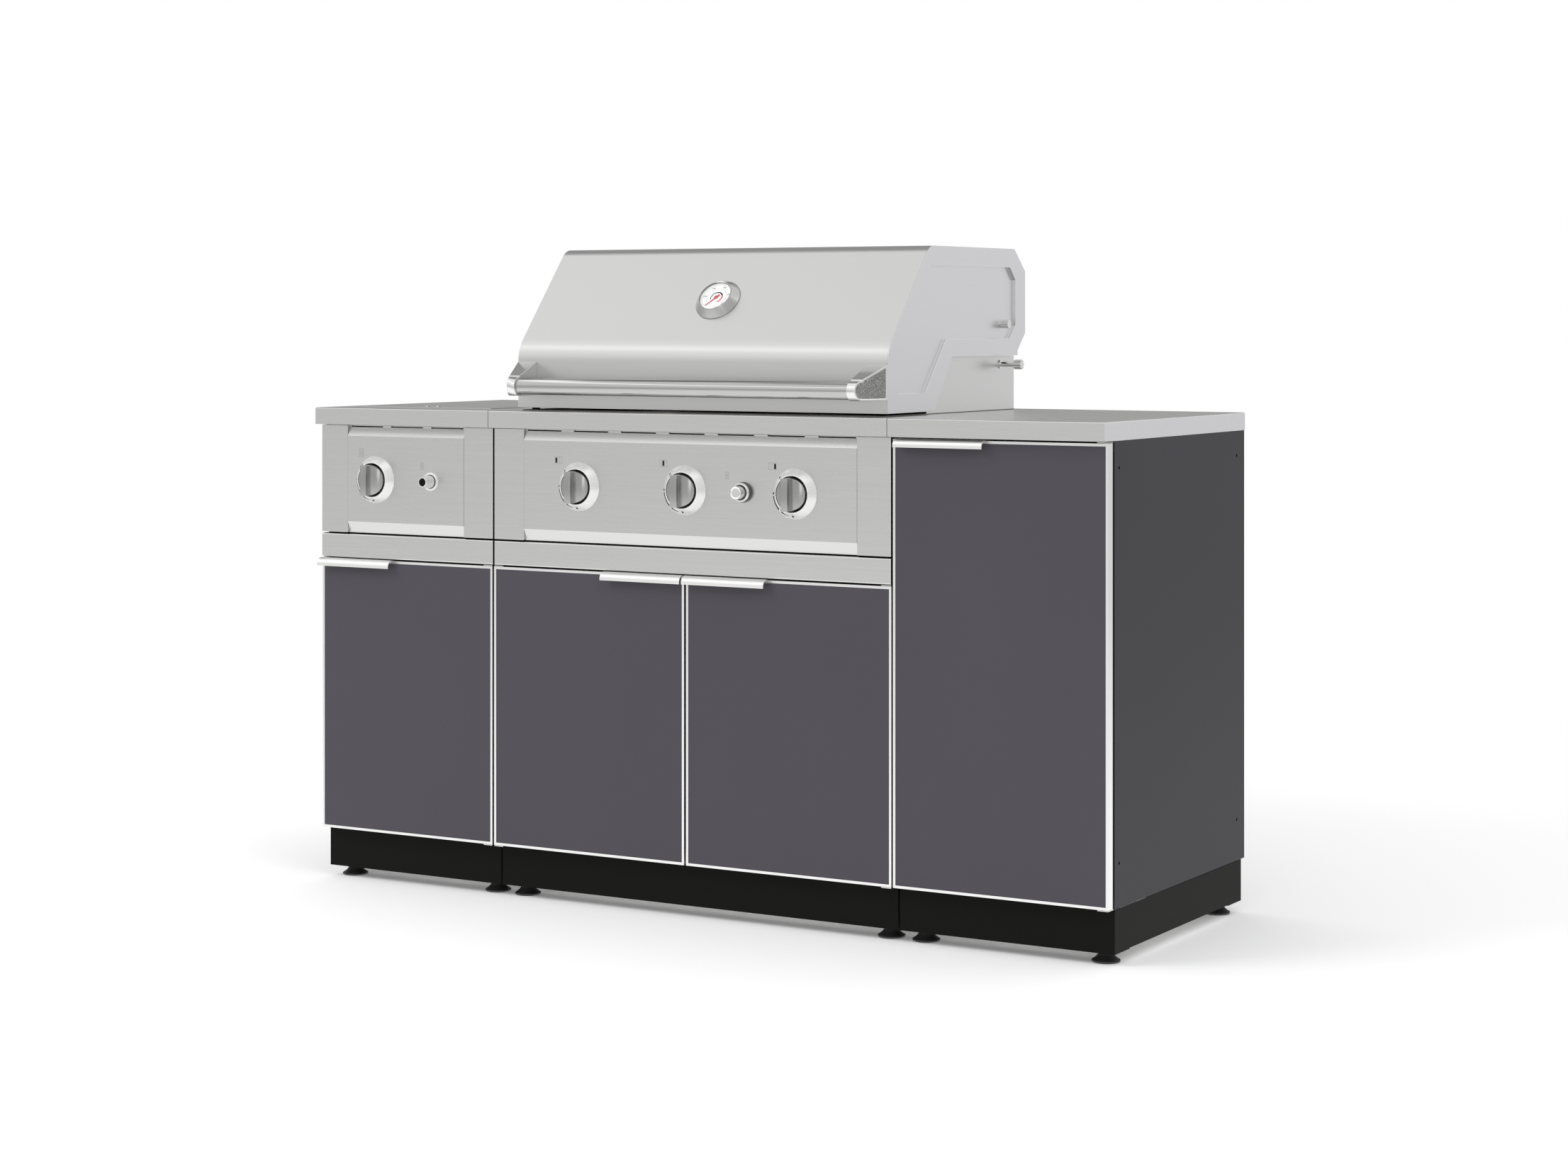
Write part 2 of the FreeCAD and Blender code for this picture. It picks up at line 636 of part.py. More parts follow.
def cabinet_shelf():
    """Shelf on four pegs in the tall cabinet."""
    wall_left, wall_right = RIGHT[0] + MODULE_GAP + SHEET, RIGHT[1] - MODULE_GAP - SHEET
    x0, x1 = RIGHT[0] + MODULE_GAP + FLANGE + SHELF_CLEAR, RIGHT[1] - MODULE_GAP - FLANGE - SHELF_CLEAR
    y0, y1 = CARCASS_FRONT + FLANGE, SIDE_BACK - FLANGE
    z1 = CARCASS_BOTTOM + SHELF_HEIGHT
    z0 = z1 - SHELF_THICK
    shelf = box(x0, x1, y0, y1, z0, z1).cut(
        box(x0 + SHEET, x1 - SHEET, y0 + SHEET, y1 - SHEET, z0, z1 - SHEET))
    reach = x0 - wall_left + PEG_LENGTH
    pegs = []
    for y in (y0 + FLANGE, y1 - FLANGE):
        pegs.append(rod((wall_left, y, z0 - PEG_R), (1, 0, 0), PEG_R, reach))
        pegs.append(rod((wall_right, y, z0 - PEG_R), (-1, 0, 0), PEG_R, reach))
    return [shelf] + pegs


# Doors: name, left edge, right edge, top, side of the hinge, left end of the pull
def door_list():
    between = (MIDDLE[0] + MIDDLE[1]) / 2
    half = DOOR_GAP / 2
    first = LEFT[0] + DOOR_END_GAP * 2, LEFT[1] - half - 1.0
    second = MIDDLE[0] + half - 1.0, between - half
    third = between + half, MIDDLE[1] - half + 1.0
    fourth = RIGHT[0] + half, RIGHT[1] - DOOR_END_GAP
    return [
        ("left_door", first, LOW_DOOR_TOP, "right", first[0]),
        ("middle_left_door", second, LOW_DOOR_TOP, "left", second[1] - PULL_LENGTH),
        ("middle_right_door", third, LOW_DOOR_TOP, "right", third[0]),
        ("right_door", fourth, TALL_DOOR_TOP, "right", fourth[0] + 2 * DOOR_GAP),
    ]


def door_pivot(span, side):
    x = span[1] - DOOR_PIVOT_IN if side == "right" else span[0] + DOOR_PIVOT_IN
    return x, DOOR_FACE + DOOR_PIVOT_IN


def door_frame(span, top, side):
    """Aluminium frame, with a hole for a hinge pin at the top and bottom corner."""
    y0, y1 = DOOR_FACE, DOOR_FACE + DOOR_THICK
    outside = rectangle(span[0], span[1], DOOR_BOTTOM, top)
    inside = rectangle(span[0] + DOOR_FRAME_FACE, span[1] - DOOR_FRAME_FACE,
                       DOOR_BOTTOM + DOOR_FRAME_FACE, top - DOOR_FRAME_FACE)
    frame = prism(outside, "y", y0, y1, [inside])
    x, y = door_pivot(span, side)
    holes = [rod((x, y, z), (0, 0, 1), HINGE_PIN_R + RUNNING_FIT, DOOR_FRAME_FACE)
             for z in (DOOR_BOTTOM, top - DOOR_FRAME_FACE)]
    return frame.cut(Part.makeCompound(holes))


def door_panel(span, top):
    y0 = DOOR_FACE + DOOR_PANEL_SINK
    return box(span[0] + DOOR_FRAME_FACE, span[1] - DOOR_FRAME_FACE, y0, y0 + DOOR_PANEL_THICK,
               DOOR_BOTTOM + DOOR_FRAME_FACE, top - DOOR_FRAME_FACE)


def door_pull(left, top):
    """Edge pull: a strip on the door's top edge that curves down in front of it."""
    y_out, z_top = DOOR_FACE - PULL_REACH, top + PULL_SHEET
    line = [(DOOR_FACE + DOOR_THICK, z_top), (y_out, z_top, PULL_BEND), (y_out, z_top - PULL_LIP)]
    return folded(line, PULL_SHEET, "x", left, left + PULL_LENGTH)


def hinge_bracket(span, side, edge_z, up):
    """Angle on the carcass with a pin that stands in the door; up is 1 below a door, -1 above it."""
    x, y = door_pivot(span, side)
    inward = -1 if side == "right" else 1
    outer, inner = DOOR_PIVOT_IN - BRACKET_GAP, BRACKET_LENGTH - DOOR_PIVOT_IN
    x0, x1 = sorted((x - inward * outer, x + inward * inner))
    face_z = edge_z - up * BRACKET_GAP
    low, high = sorted((face_z, face_z - up * BRACKET_SHEET))
    shelf = box(x0, x1, DOOR_FACE + BRACKET_GAP, CARCASS_FRONT, low, high)
    leg_low, leg_high = sorted((face_z, face_z + up * BRACKET_LEG))
    leg = box(x0, x1, CARCASS_FRONT - BRACKET_SHEET, CARCASS_FRONT, leg_low, leg_high)
    pin = rod((x, y, face_z), (0, 0, up), HINGE_PIN_R, BRACKET_GAP + HINGE_PIN_GRIP)
    return fused([shelf, leg, pin])


def hinge_brackets():
    brackets = []
    for name, span, top, side, pull in door_list():
        brackets.append(hinge_bracket(span, side, DOOR_BOTTOM, 1))
        brackets.append(hinge_bracket(span, side, top, -1))
    return brackets


def door_catches():
    """Magnet block on the carcass wall, behind each door's free corner."""
    width, height = CATCH_SIZE
    blocks = []
    for name, span, top, side, pull in door_list():
        x = span[0] + DOOR_FRAME_FACE if side == "right" else span[1] - DOOR_FRAME_FACE - width
        z = top - DOOR_FRAME_FACE - height
        blocks.append(box(x, x + width, DOOR_FACE + DOOR_THICK + CATCH_GAP, CARCASS_FRONT, z, z + height))
    return blocks


# Burner controls
def bezel(x):
    profile = [
        (BEZEL_BORE_R, 0), (BEZEL_R, 0), (BEZEL_R, 2.0), (BEZEL_MOUTH_R, BEZEL_HEIGHT),
        (BEZEL_BORE_R, BEZEL_HEIGHT),
    ]
    return turned(profile, (x, DOOR_FACE, CONTROL_Z), (0, -1, 0), (1, 0, 0))


def igniter_collar(x, bore, height):
    bevel = 1.5
    profile = [(bore, 0), (IGNITER_COLLAR_R, 0), (IGNITER_COLLAR_R, height - bevel),
               (IGNITER_COLLAR_R - bevel, height), (bore, height)]
    return turned(profile, (x, DOOR_FACE, CONTROL_Z), (0, -1, 0), (1, 0, 0))


def control_bezels():
    rings = [bezel(x) for x in [LEFT_KNOB_X] + MAIN_KNOBS]
    rings.append(igniter_collar(LEFT_IGNITER_X, SIDE_BORE_R, SIDE_COLLAR_HEIGHT))
    rings.append(igniter_collar(MAIN_IGNITER_X, MAIN_BORE_R, MAIN_COLLAR_HEIGHT))
    return rings


def stem_section(x, extra):
    """Round stem with a flat on its upper side, as points and arc on the XZ plane."""
    radius = STEM_R + extra
    level = STEM_R - STEM_FLAT + 2 * extra
    half = math.sqrt(radius * radius - level * level)
    left, right = (x - half, CONTROL_Z + level), (x + half, CONTROL_Z + level)
    return left, right, (x, CONTROL_Z - radius)


def stem_prism(x, y0, y1, extra=0.0):
    left, right, low = [in_space(p, "y", y0) for p in stem_section(x, extra)]
    wire = Part.Wire([Part.makeLine(left, right), Part.Arc(right, low, left).toShape()])
    return Part.Face(wire).extrude(V(0, y1 - y0, 0))


def knob_back():
    return DOOR_FACE - KNOB_SKIRT_BACK


def valve_stem(x):
    """Turning stem: round in the valve, with a flat where the knob slides on it."""
    front = knob_back() - STEM_GRIP
    shoulder = VALVE_Y - 1.0
    flatted = stem_prism(x, front, shoulder)
    round_part = rod((x, shoulder, CONTROL_Z), (0, 1, 0), STEM_R, VALVE_Y + VALVE_GRIP - shoulder)
    return fused([flatted, round_part])


def knob(x):
    """Knob: a disc whose two sides are scooped away to leave an upright grip."""
    back = knob_back()
    front = back - KNOB_LENGTH
    body = rod((x, back, CONTROL_Z), (0, -1, 0), KNOB_R, KNOB_LENGTH)
    scoops = [rod((x + side * (GRIP_HALF + GRIP_SCOOP_R), front, CONTROL_Z - KNOB_R), (0, 0, 1),
                  GRIP_SCOOP_R, 2 * KNOB_R) for side in (-1, 1)]
    bore = stem_prism(x, back - STEM_GRIP - PUSH_TRAVEL - 1.0, back, RUNNING_FIT)
    return body.cut(Part.makeCompound(scoops + [bore]))


def igniter_button(x, radius, reach):
    """Push button on a guide rod that runs in the plate and ends in a clip behind it."""
    front = DOOR_FACE - reach
    seat = DOOR_FACE - IGNITER_TRAVEL - 1.0
    clip = seat + IGNITER_GUIDE_LENGTH - IGNITER_CLIP_THICK
    profile = [
        (0, front), (radius - 1.2, front), (radius, front + 1.2), (radius, seat), (IGNITER_GUIDE_R, seat),
        (IGNITER_GUIDE_R, clip), (IGNITER_CLIP_R, clip), (IGNITER_CLIP_R, clip + IGNITER_CLIP_THICK),
        (0, clip + IGNITER_CLIP_THICK),
    ]
    return turned(profile, (x, 0, CONTROL_Z), (0, 1, 0), (1, 0, 0))


def valve_body(x):
    """Valve on the gas pipe: its neck stands against the control plate, and its back fits the pipe."""
    half = VALVE_SIZE / 2
    block = box(x - half, x + half, VALVE_Y, MANIFOLD_Y, CONTROL_Z - half, CONTROL_Z + half)
    neck_start = DOOR_FACE + SHEET
    neck = rod((x, neck_start, CONTROL_Z), (0, 1, 0), VALVE_NECK_R, VALVE_Y - neck_start)
    bore = rod((x, neck_start, CONTROL_Z), (0, 1, 0), STEM_R + RUNNING_FIT,
               VALVE_Y + VALVE_GRIP + 1.0 - neck_start)
    pipe = rod((x - VALVE_SIZE, MANIFOLD_Y, CONTROL_Z), (1, 0, 0), MANIFOLD_R, 2 * VALVE_SIZE)
    return fused([block, neck]).cut(Part.makeCompound([bore, pipe]))


def gas_pipe():
    """Pipe across the cabinets with a nozzle behind each valve; it turns back beside the firebox
    and ends in a hose tail in front of the back sheet."""
    start = LEFT_KNOB_X - VALVE_SIZE
    half = VALVE_SIZE / 2
    pipe = rod((start, MANIFOLD_Y, CONTROL_Z), (1, 0, 0), MANIFOLD_R, SUPPLY_X - start)
    elbow = box(SUPPLY_X - half, SUPPLY_X + half, MANIFOLD_Y - half, MANIFOLD_Y + half,
                CONTROL_Z - half, CONTROL_Z + half)
    run = rod((SUPPLY_X, MANIFOLD_Y, CONTROL_Z), (0, 1, 0), MANIFOLD_R, INLET_END - INLET_LENGTH - MANIFOLD_Y)
    tail = rod((SUPPLY_X, INLET_END - INLET_LENGTH, CONTROL_Z), (0, 1, 0), INLET_R, INLET_LENGTH)
    reach = MANIFOLD_R + NOZZLE_LENGTH
    nozzles = [rod((x, MANIFOLD_Y, CONTROL_Z), (0, 1, 0), NOZZLE_R, reach)
               for x in [LEFT_KNOB_X] + MAIN_KNOBS]
    return fused([pipe, elbow, run, tail] + nozzles)


def gas_manifold():
    return [gas_pipe()] + [valve_body(x) for x in [LEFT_KNOB_X] + MAIN_KNOBS]


# Grill body
def rim_wall(axis, at, outward, span, depth_to, flange_to, top_up=0.0):
    """Upright wall of the firebox with a flange that lies on the counter."""
    wall_top = RIM_TOP + top_up
    low, high = sorted((at, at + outward * GRILL_SHEET))
    flange_low, flange_high = sorted((at, flange_to))
    if axis == "y":
        wall = box(span[0], span[1], low, high, depth_to, wall_top)
        flange = box(span[0], span[1], flange_low, flange_high, COUNTER_TOP, RIM_TOP)
    else:
        wall = box(low, high, span[0], span[1], depth_to, wall_top)
        flange = box(flange_low, flange_high, span[0], span[1], COUNTER_TOP, RIM_TOP)
    return fused([wall, flange])


def firebox():
    """Walls, floor, ledges for the grates and tamers, and rails for the drip tray."""
    bottom = FIREBOX_BOTTOM
    whole_x = (BODY_LEFT, BODY_RIGHT)
    inner_y = (FIREBOX_FRONT, FIREBOX_BACK)
    front = rim_wall("y", FIREBOX_FRONT, -1, whole_x, COUNTER_TOP, FIREBOX_FLANGE_FRONT)
    front = fused([front, box(FIREBOX_LEFT, FIREBOX_RIGHT, FIREBOX_FRONT - GRILL_SHEET, FIREBOX_FRONT,
                              bottom, COUNTER_TOP)])
    holes = [rod((x, 0, CONTROL_Z), (0, 1, 0), BURNER_R + 1.0, FIREBOX_FRONT + 10) for x in MAIN_KNOBS]
    front = front.cut(Part.makeCompound(holes))
    back = rim_wall("y", FIREBOX_BACK, 1, whole_x, COUNTER_TOP, HOOD_SKIRT_BACK)
    back = fused([back, box(FIREBOX_LEFT, FIREBOX_RIGHT, FIREBOX_BACK, FIREBOX_BACK + GRILL_SHEET,
                            bottom, COUNTER_TOP + FIREBOX_WALL_UP)])
    left = rim_wall("x", FIREBOX_LEFT, -1, inner_y, bottom, BODY_LEFT)
    right = rim_wall("x", FIREBOX_RIGHT, 1, inner_y, bottom, BODY_RIGHT)
    drain_x, drain_y = DRAIN_SIZE[0] / 2, DRAIN_SIZE[1] / 2
    middle_y = (FIREBOX_FRONT + FIREBOX_BACK) / 2
    floor = box(FIREBOX_LEFT, FIREBOX_RIGHT, FIREBOX_FRONT, FIREBOX_BACK, bottom, bottom + GRILL_SHEET).cut(
        box(HOOD_MIDDLE - drain_x, HOOD_MIDDLE + drain_x, middle_y - drain_y, middle_y + drain_y,
            bottom - 1, bottom + 2 * GRILL_SHEET))
    ledges = []
    for top in (COUNTER_TOP - GRATE_DROP - GRATE_THICK, COUNTER_TOP - TAMER_DROP):
        for y in (FIREBOX_FRONT, FIREBOX_BACK - LEDGE_DEPTH):
            ledges.append(box(FIREBOX_LEFT, FIREBOX_RIGHT, y, y + LEDGE_DEPTH, top - GRILL_SHEET, top))
    return [front, back, left, right, floor] + ledges + tray_rails()


def tray_top():
    return FIREBOX_BOTTOM - TRAY_DROP


def tray_rails():
    """Angles that hang from the firebox floor and carry the drip tray's rim."""
    y0, y1 = TRAY_FRONT - TRAY_TRAVEL + TRAY_RIM, TRAY_FRONT + TRAY_LENGTH + TRAY_RIM
    under = tray_top() - SHEET - SEAT_GAP
    x_in, x_out = HOOD_MIDDLE + TRAY_WIDTH / 2 + 1.0, HOOD_MIDDLE + TRAY_WIDTH / 2 + TRAY_RIM + 0.5
    line = [(x_in, under), (x_out, under), (x_out, FIREBOX_BOTTOM)]
    rail = folded([(x, z) for x, z in reversed(line)], GRILL_SHEET, "y", y0, y1)
    return [rail, mirrored(rail, HOOD_MIDDLE)]


def drip_tray():
    """Open tray whose rim runs on the rails."""
    x0, x1 = HOOD_MIDDLE - TRAY_WIDTH / 2, HOOD_MIDDLE + TRAY_WIDTH / 2
    y0, y1 = TRAY_FRONT, TRAY_FRONT + TRAY_LENGTH
    top = tray_top()
    tub = box(x0, x1, y0, y1, top - TRAY_DEPTH, top)
    rim = box(x0 - TRAY_RIM, x1 + TRAY_RIM, y0 - TRAY_RIM, y1 + TRAY_RIM, top - SHEET, top)
    hollow = box(x0 + SHEET, x1 - SHEET, y0 + SHEET, y1 - SHEET, top - TRAY_DEPTH + SHEET, top)
    return [fused([tub, rim]).cut(hollow)]


def grill_surround():
    """Outer side walls seen below the hood, and the low wall behind it."""
    section = [
        (BODY_FRONT_LOW, RIM_TOP), (HOOD_SKIRT_BACK, RIM_TOP), (HOOD_SKIRT_BACK, COUNTER_TOP + BODY_SIDE_UP),
        (BODY_FRONT_HIGH, COUNTER_TOP + BODY_SIDE_UP),
    ]
    side = prism(section, "x", BODY_LEFT, BODY_LEFT + GRILL_SHEET)
    side = side.cut(rod((BODY_LEFT - 1, PIVOT_Y, COUNTER_TOP + PIVOT_UP), (1, 0, 0), PIVOT_PIN_R, 4))
    back = box(BODY_LEFT + GRILL_SHEET, BODY_RIGHT - GRILL_SHEET,
               HOOD_SKIRT_BACK - GRILL_SHEET, HOOD_SKIRT_BACK,
               RIM_TOP, COUNTER_TOP + BODY_BACK_UP)
    return [side, mirrored(side, HOOD_MIDDLE), back]


def burners():
    """Tube burners with gas ports along both sides, and a bell mouth round each valve's nozzle."""
    mouth = MANIFOLD_Y + MANIFOLD_R + NOZZLE_LENGTH / 2
    start, tail = mouth + BURNER_BELL_LENGTH, FIREBOX_BACK - SEAT_GAP
    inner = BURNER_R - BURNER_WALL
    length = tail - start
    tube_section = [(inner, 0), (BURNER_R, 0), (BURNER_R, length), (0, length), (0, length - BURNER_WALL),
                    (inner, length - BURNER_WALL)]
    bell_section = [(BURNER_BELL_R - BURNER_WALL, 0), (BURNER_BELL_R, 0), (BURNER_R, BURNER_BELL_LENGTH),
                    (inner, BURNER_BELL_LENGTH)]
    half = BURNER_PORT_LENGTH / 2
    first, last = FIREBOX_FRONT + 15 + half, FIREBOX_BACK - 15 - half
    middles = [first + i * (last - first) / (BURNER_PORTS - 1) for i in range(BURNER_PORTS)]
    pieces = []
    for x in MAIN_KNOBS:
        tube = turned(tube_section, (x, start, CONTROL_Z), (0, 1, 0), (1, 0, 0))
        ports = [box(x - 2 * BURNER_R, x + 2 * BURNER_R, y - half, y + half, CONTROL_Z + 3, CONTROL_Z + 5)
                 for y in middles]
        pieces.append(tube.cut(Part.makeCompound(ports)))
        pieces.append(turned(bell_section, (x, mouth, CONTROL_Z), (0, 1, 0), (1, 0, 0)))
    return pieces


def flame_tamers():
    """Roof-shaped sheet over each burner, standing on the lower ledges."""
    foot = COUNTER_TOP - TAMER_DROP
    tamers = []
    for x in MAIN_KNOBS:
        line = [(x - TAMER_HALF, foot), (x, foot + TAMER_RISE), (x + TAMER_HALF, foot)]
        tamers.append(folded(line, GRILL_SHEET, "y", FIREBOX_FRONT + SEAT_GAP, FIREBOX_BACK - SEAT_GAP))
    return tamers


def slotted_plate(x0, x1, y0, y1, z0, z1, slots, border, bar):
    """Flat grate: a plate with a row of slots that run from front to back."""
    pitch = (x1 - x0 - 2 * border + bar) / slots
    holes = [rectangle(x0 + border + i * pitch, x0 + border + (i + 1) * pitch - bar, y0 + border, y1 - border)
             for i in range(slots)]
    return prism(rectangle(x0, x1, y0, y1), "z", z0, z1, holes)


def cooking_grates():
    top = COUNTER_TOP - GRATE_DROP
    width = (FIREBOX_RIGHT - FIREBOX_LEFT - (GRATE_COUNT + 1) * GRATE_GAP) / GRATE_COUNT
    grates = []
    for i in range(GRATE_COUNT):
        x = FIREBOX_LEFT + GRATE_GAP + i * (width + GRATE_GAP)
        grates.append(slotted_plate(x, x + width, FIREBOX_FRONT + GRATE_GAP, FIREBOX_BACK - GRATE_GAP,
                                    top - GRATE_THICK, top, GRATE_SLOTS, GRATE_BORDER, GRATE_BAR))
    return grates


def warming_rack():
    """Rack above the back of the grates, on four legs that stand on the firebox flange."""
    leg_x = FIREBOX_LEFT - GRILL_SHEET - RACK_LEG
    mirror_x = HOOD_MIDDLE
    x0, x1 = leg_x, 2 * mirror_x - leg_x
    top = COUNTER_TOP + RACK_UP
    rack = slotted_plate(x0, x1, RACK_FRONT, RACK_BACK, top, top + RACK_THICK,
                         RACK_SLOTS, GRATE_BORDER, RACK_LEG)
    legs = []
    for y in (RACK_FRONT, RACK_BACK - RACK_LEG):
        leg = box(leg_x, leg_x + RACK_LEG, y, y + RACK_LEG, RIM_TOP, top)
        legs += [leg, mirrored(leg, mirror_x)]
    return [rack] + legs


# Hood
def hood_points():
    """The hood's side outline, counter-clockwise from its lower front corner, as (y, z)."""
    z = COUNTER_TOP
    return [
        (HOOD_FRONT, z + HOOD_LIFT), (HOOD_NOTCH_LOW_Y, z + HOOD_LIFT),
        (HOOD_NOTCH_TOP_Y, z + HOOD_SKIRT_LOW),
        (HOOD_SKIRT_BACK, z + HOOD_SKIRT_LOW), (HOOD_SKIRT_BACK, z + HOOD_SKIRT_LOW + 9.4),
        (HOOD_BACK, z + HOOD_BACK_LOW), (HOOD_BACK, z + HOOD_BACK_TOP), (HOOD_TOP_BACK, z + HOOD_TOP),
        (HOOD_CROWN_Y, z + HOOD_TOP, HOOD_CROWN_R), (HOOD_FRONT, z + HOOD_KNEE, HOOD_KNEE_R),
    ]


def recess_points(inset):
    """Outline of the pressed panel in the hood's side; inset shrinks it for the wall's thickness."""
    z = COUNTER_TOP
    slope = (HOOD_CROWN_Y - HOOD_FRONT) / (HOOD_TOP - HOOD_KNEE)
    front, bottom = HOOD_FRONT + RECESS_FRONT + inset, z + HOOD_LIFT + RECESS_LIFT + inset
    top, back = z + HOOD_TOP - RECESS_TOP_DROP - inset, HOOD_BACK - RECESS_BACK - inset
    notch_top = (HOOD_NOTCH_TOP_Y - RECESS_NOTCH_TOP - inset, z + HOOD_SKIRT_LOW + RECESS_NOTCH_RISE + inset)
    knee = (front, z + HOOD_KNEE + 3.0)
    return [
        (front, bottom), (HOOD_NOTCH_LOW_Y - RECESS_NOTCH_LOW - inset, bottom), notch_top,
        (back - RECESS_CORNER, notch_top[1]), (back, z + HOOD_BACK_LOW + RECESS_BACK_RISE + inset),
        (back, z + HOOD_TOP - RECESS_BACK_DROP - inset), (back - RECESS_CORNER, top),
        (knee[0] + (top - knee[1]) * slope, top), knee,
    ]


def hood_side():
    """Left side of the hood: a sheet with one pressed-in panel."""
    outside = HOOD_LEFT
    sheet = prism(hood_points(), "x", outside, outside + GRILL_SHEET)
    pocket = prism(recess_points(0), "x", outside, outside + HOOD_RECESS + GRILL_SHEET)
    hollow = prism(recess_points(GRILL_SHEET), "x", outside - 1, outside + HOOD_RECESS)
    return fused([sheet, pocket]).cut(hollow)


def hood_sides():
    side = hood_side()
    hole = rod((HOOD_LEFT - 1, PIVOT_Y, COUNTER_TOP + THUMB_UP), (1, 0, 0), PIVOT_PIN_R, 20)
    side = side.cut(hole)
    return [side, mirrored(side, HOOD_MIDDLE)]


def hood_skin():
    """One folded sheet: front, knee, slope, crown, top and the back's chamfer."""
    z = COUNTER_TOP
    line = [
        (HOOD_BACK, z + HOOD_BACK_TOP), (HOOD_TOP_BACK, z + HOOD_TOP),
        (HOOD_CROWN_Y, z + HOOD_TOP, HOOD_CROWN_R), (HOOD_FRONT, z + HOOD_KNEE, HOOD_KNEE_R),
        (HOOD_FRONT, z + HOOD_LIFT),
    ]
    skin = folded(line, GRILL_SHEET, "x", HOOD_LEFT + GRILL_SHEET, HOOD_RIGHT - GRILL_SHEET)
    place = gauge_place()
    hole = Part.makeCylinder(6.0, 20.0, V(0, 0, -10))
    hole.Placement = place
    return [skin.cut(hole)]


def hood_arm():
    """Inner arm of the left side: from the pivot pin up to a block on the hood's recessed panel."""
    x0 = BODY_LEFT + GRILL_SHEET + ARM_GAP
    pivot = COUNTER_TOP + PIVOT_UP
    half = ARM_WIDTH / 2
    plate = fused([
        rod((x0, PIVOT_Y, pivot), (1, 0, 0), half + 2, ARM_SHEET),
        box(x0, x0 + ARM_SHEET, PIVOT_Y - half, PIVOT_Y + half, pivot, pivot + ARM_BLOCK_HIGH),
    ])
    block = box(HOOD_LEFT + HOOD_RECESS + GRILL_SHEET, x0, PIVOT_Y - half + 2, PIVOT_Y + half - 2,
                pivot + ARM_BLOCK_LOW, pivot + ARM_BLOCK_HIGH)
    bore = rod((x0 - 1, PIVOT_Y, pivot), (1, 0, 0), PIVOT_PIN_R + RUNNING_FIT, ARM_SHEET + 2)
    screw = rod((HOOD_LEFT, PIVOT_Y, COUNTER_TOP + THUMB_UP), (1, 0, 0), PIVOT_PIN_R, THUMB_BORE_DEPTH)
    return fused([plate, block]).cut(Part.makeCompound([bore, screw]))


def thumbscrew():
    """Knurled screw that holds the arm to the hood's left side."""
    z = COUNTER_TOP + THUMB_UP
    seat = HOOD_LEFT + HOOD_RECESS
    arm_end = BODY_LEFT + GRILL_SHEET + ARM_GAP + ARM_SHEET
    shaft = rod((seat, PIVOT_Y, z), (1, 0, 0), PIVOT_PIN_R, arm_end - seat)
    head = rod((seat, PIVOT_Y, z), (-1, 0, 0), THUMB_R, THUMB_LENGTH)
    return fused([shaft, head])


def hood_arms():
    arm, screw = hood_arm(), thumbscrew()
    return [arm, mirrored(arm, HOOD_MIDDLE), screw, mirrored(screw, HOOD_MIDDLE)]


def hood_pivot_pins():
    """Pin through the grill's side wall: the arm turns on its inner end, and a knob ends it outside."""
    washer_r, washer, inner = 8.0, 2.0, ARM_GAP * 2 + ARM_SHEET + GRILL_SHEET
    neck = PIVOT_PIN_REACH - PIVOT_HEAD_LENGTH
    profile = [
        (0, -inner), (PIVOT_PIN_R, -inner), (PIVOT_PIN_R, 0), (washer_r, 0), (washer_r, washer),
        (PIVOT_PIN_R, washer), (PIVOT_PIN_R, neck), (PIVOT_HEAD_R, neck), (PIVOT_HEAD_R, PIVOT_PIN_REACH),
        (0, PIVOT_PIN_REACH),
    ]
    pin = turned(profile, (BODY_LEFT, PIVOT_Y, COUNTER_TOP + PIVOT_UP), (-1, 0, 0), (0, 1, 0))
    return [pin, mirrored(pin, HOOD_MIDDLE)]


def handle_bracket():
    """Left end of the handle: a rounded nose on a wedge that flares out to the hood's edge."""
    z = COUNTER_TOP
    centre = (HANDLE_Y, z + HANDLE_UP)
    root = (HOOD_FRONT, z + HANDLE_ROOT_HEIGHT)
    reach = math.hypot(root[0] - centre[0], root[1] - centre[1])
    aim = math.atan2(root[1] - centre[1], root[0] - centre[0])
    swing = math.acos(HANDLE_NOSE_R / reach)
    touch = (centre[0] + HANDLE_NOSE_R * math.cos(aim + swing),
             centre[1] + HANDLE_NOSE_R * math.sin(aim + swing))
    low = (centre[0], centre[1] - HANDLE_NOSE_R)
    front = (centre[0] - HANDLE_NOSE_R, centre[1])
    root_low = (HOOD_FRONT, low[1])
    p = [in_space(point, "x", HOOD_LEFT) for point in (low, front, touch, root, root_low)]
    wire = Part.Wire([Part.Arc(p[0], p[1], p[2]).toShape(), Part.makeLine(p[2], p[3]),
                      Part.makeLine(p[3], p[4]), Part.makeLine(p[4], p[0])])
    wedge = Part.Face(wire).extrude(V(HANDLE_FLARE + HANDLE_COLLAR, 0, 0))
    spare = HANDLE_NOSE_R
    nose_y = ISLAND_FRONT - spare
    off = prism([(HOOD_LEFT - spare, nose_y), (HOOD_LEFT + HANDLE_FLARE, nose_y),
                 (HOOD_LEFT + HANDLE_FLARE, HANDLE_Y), (HOOD_LEFT, HOOD_FRONT),
                 (HOOD_LEFT - spare, HOOD_FRONT)],
                "z", z, z + HOOD_KNEE)
    return wedge.cut(off)


def hood_handle_brackets():
    bracket = handle_bracket()
    return [bracket, mirrored(bracket, HOOD_MIDDLE)]


def hood_handle_bar():
    start = HOOD_LEFT + HANDLE_FLARE + HANDLE_COLLAR
    length = HOOD_RIGHT - HOOD_LEFT - 2 * (HANDLE_FLARE + HANDLE_COLLAR)
    return [rod((start, HANDLE_Y, COUNTER_TOP + HANDLE_UP), (1, 0, 0), HANDLE_R, length)]


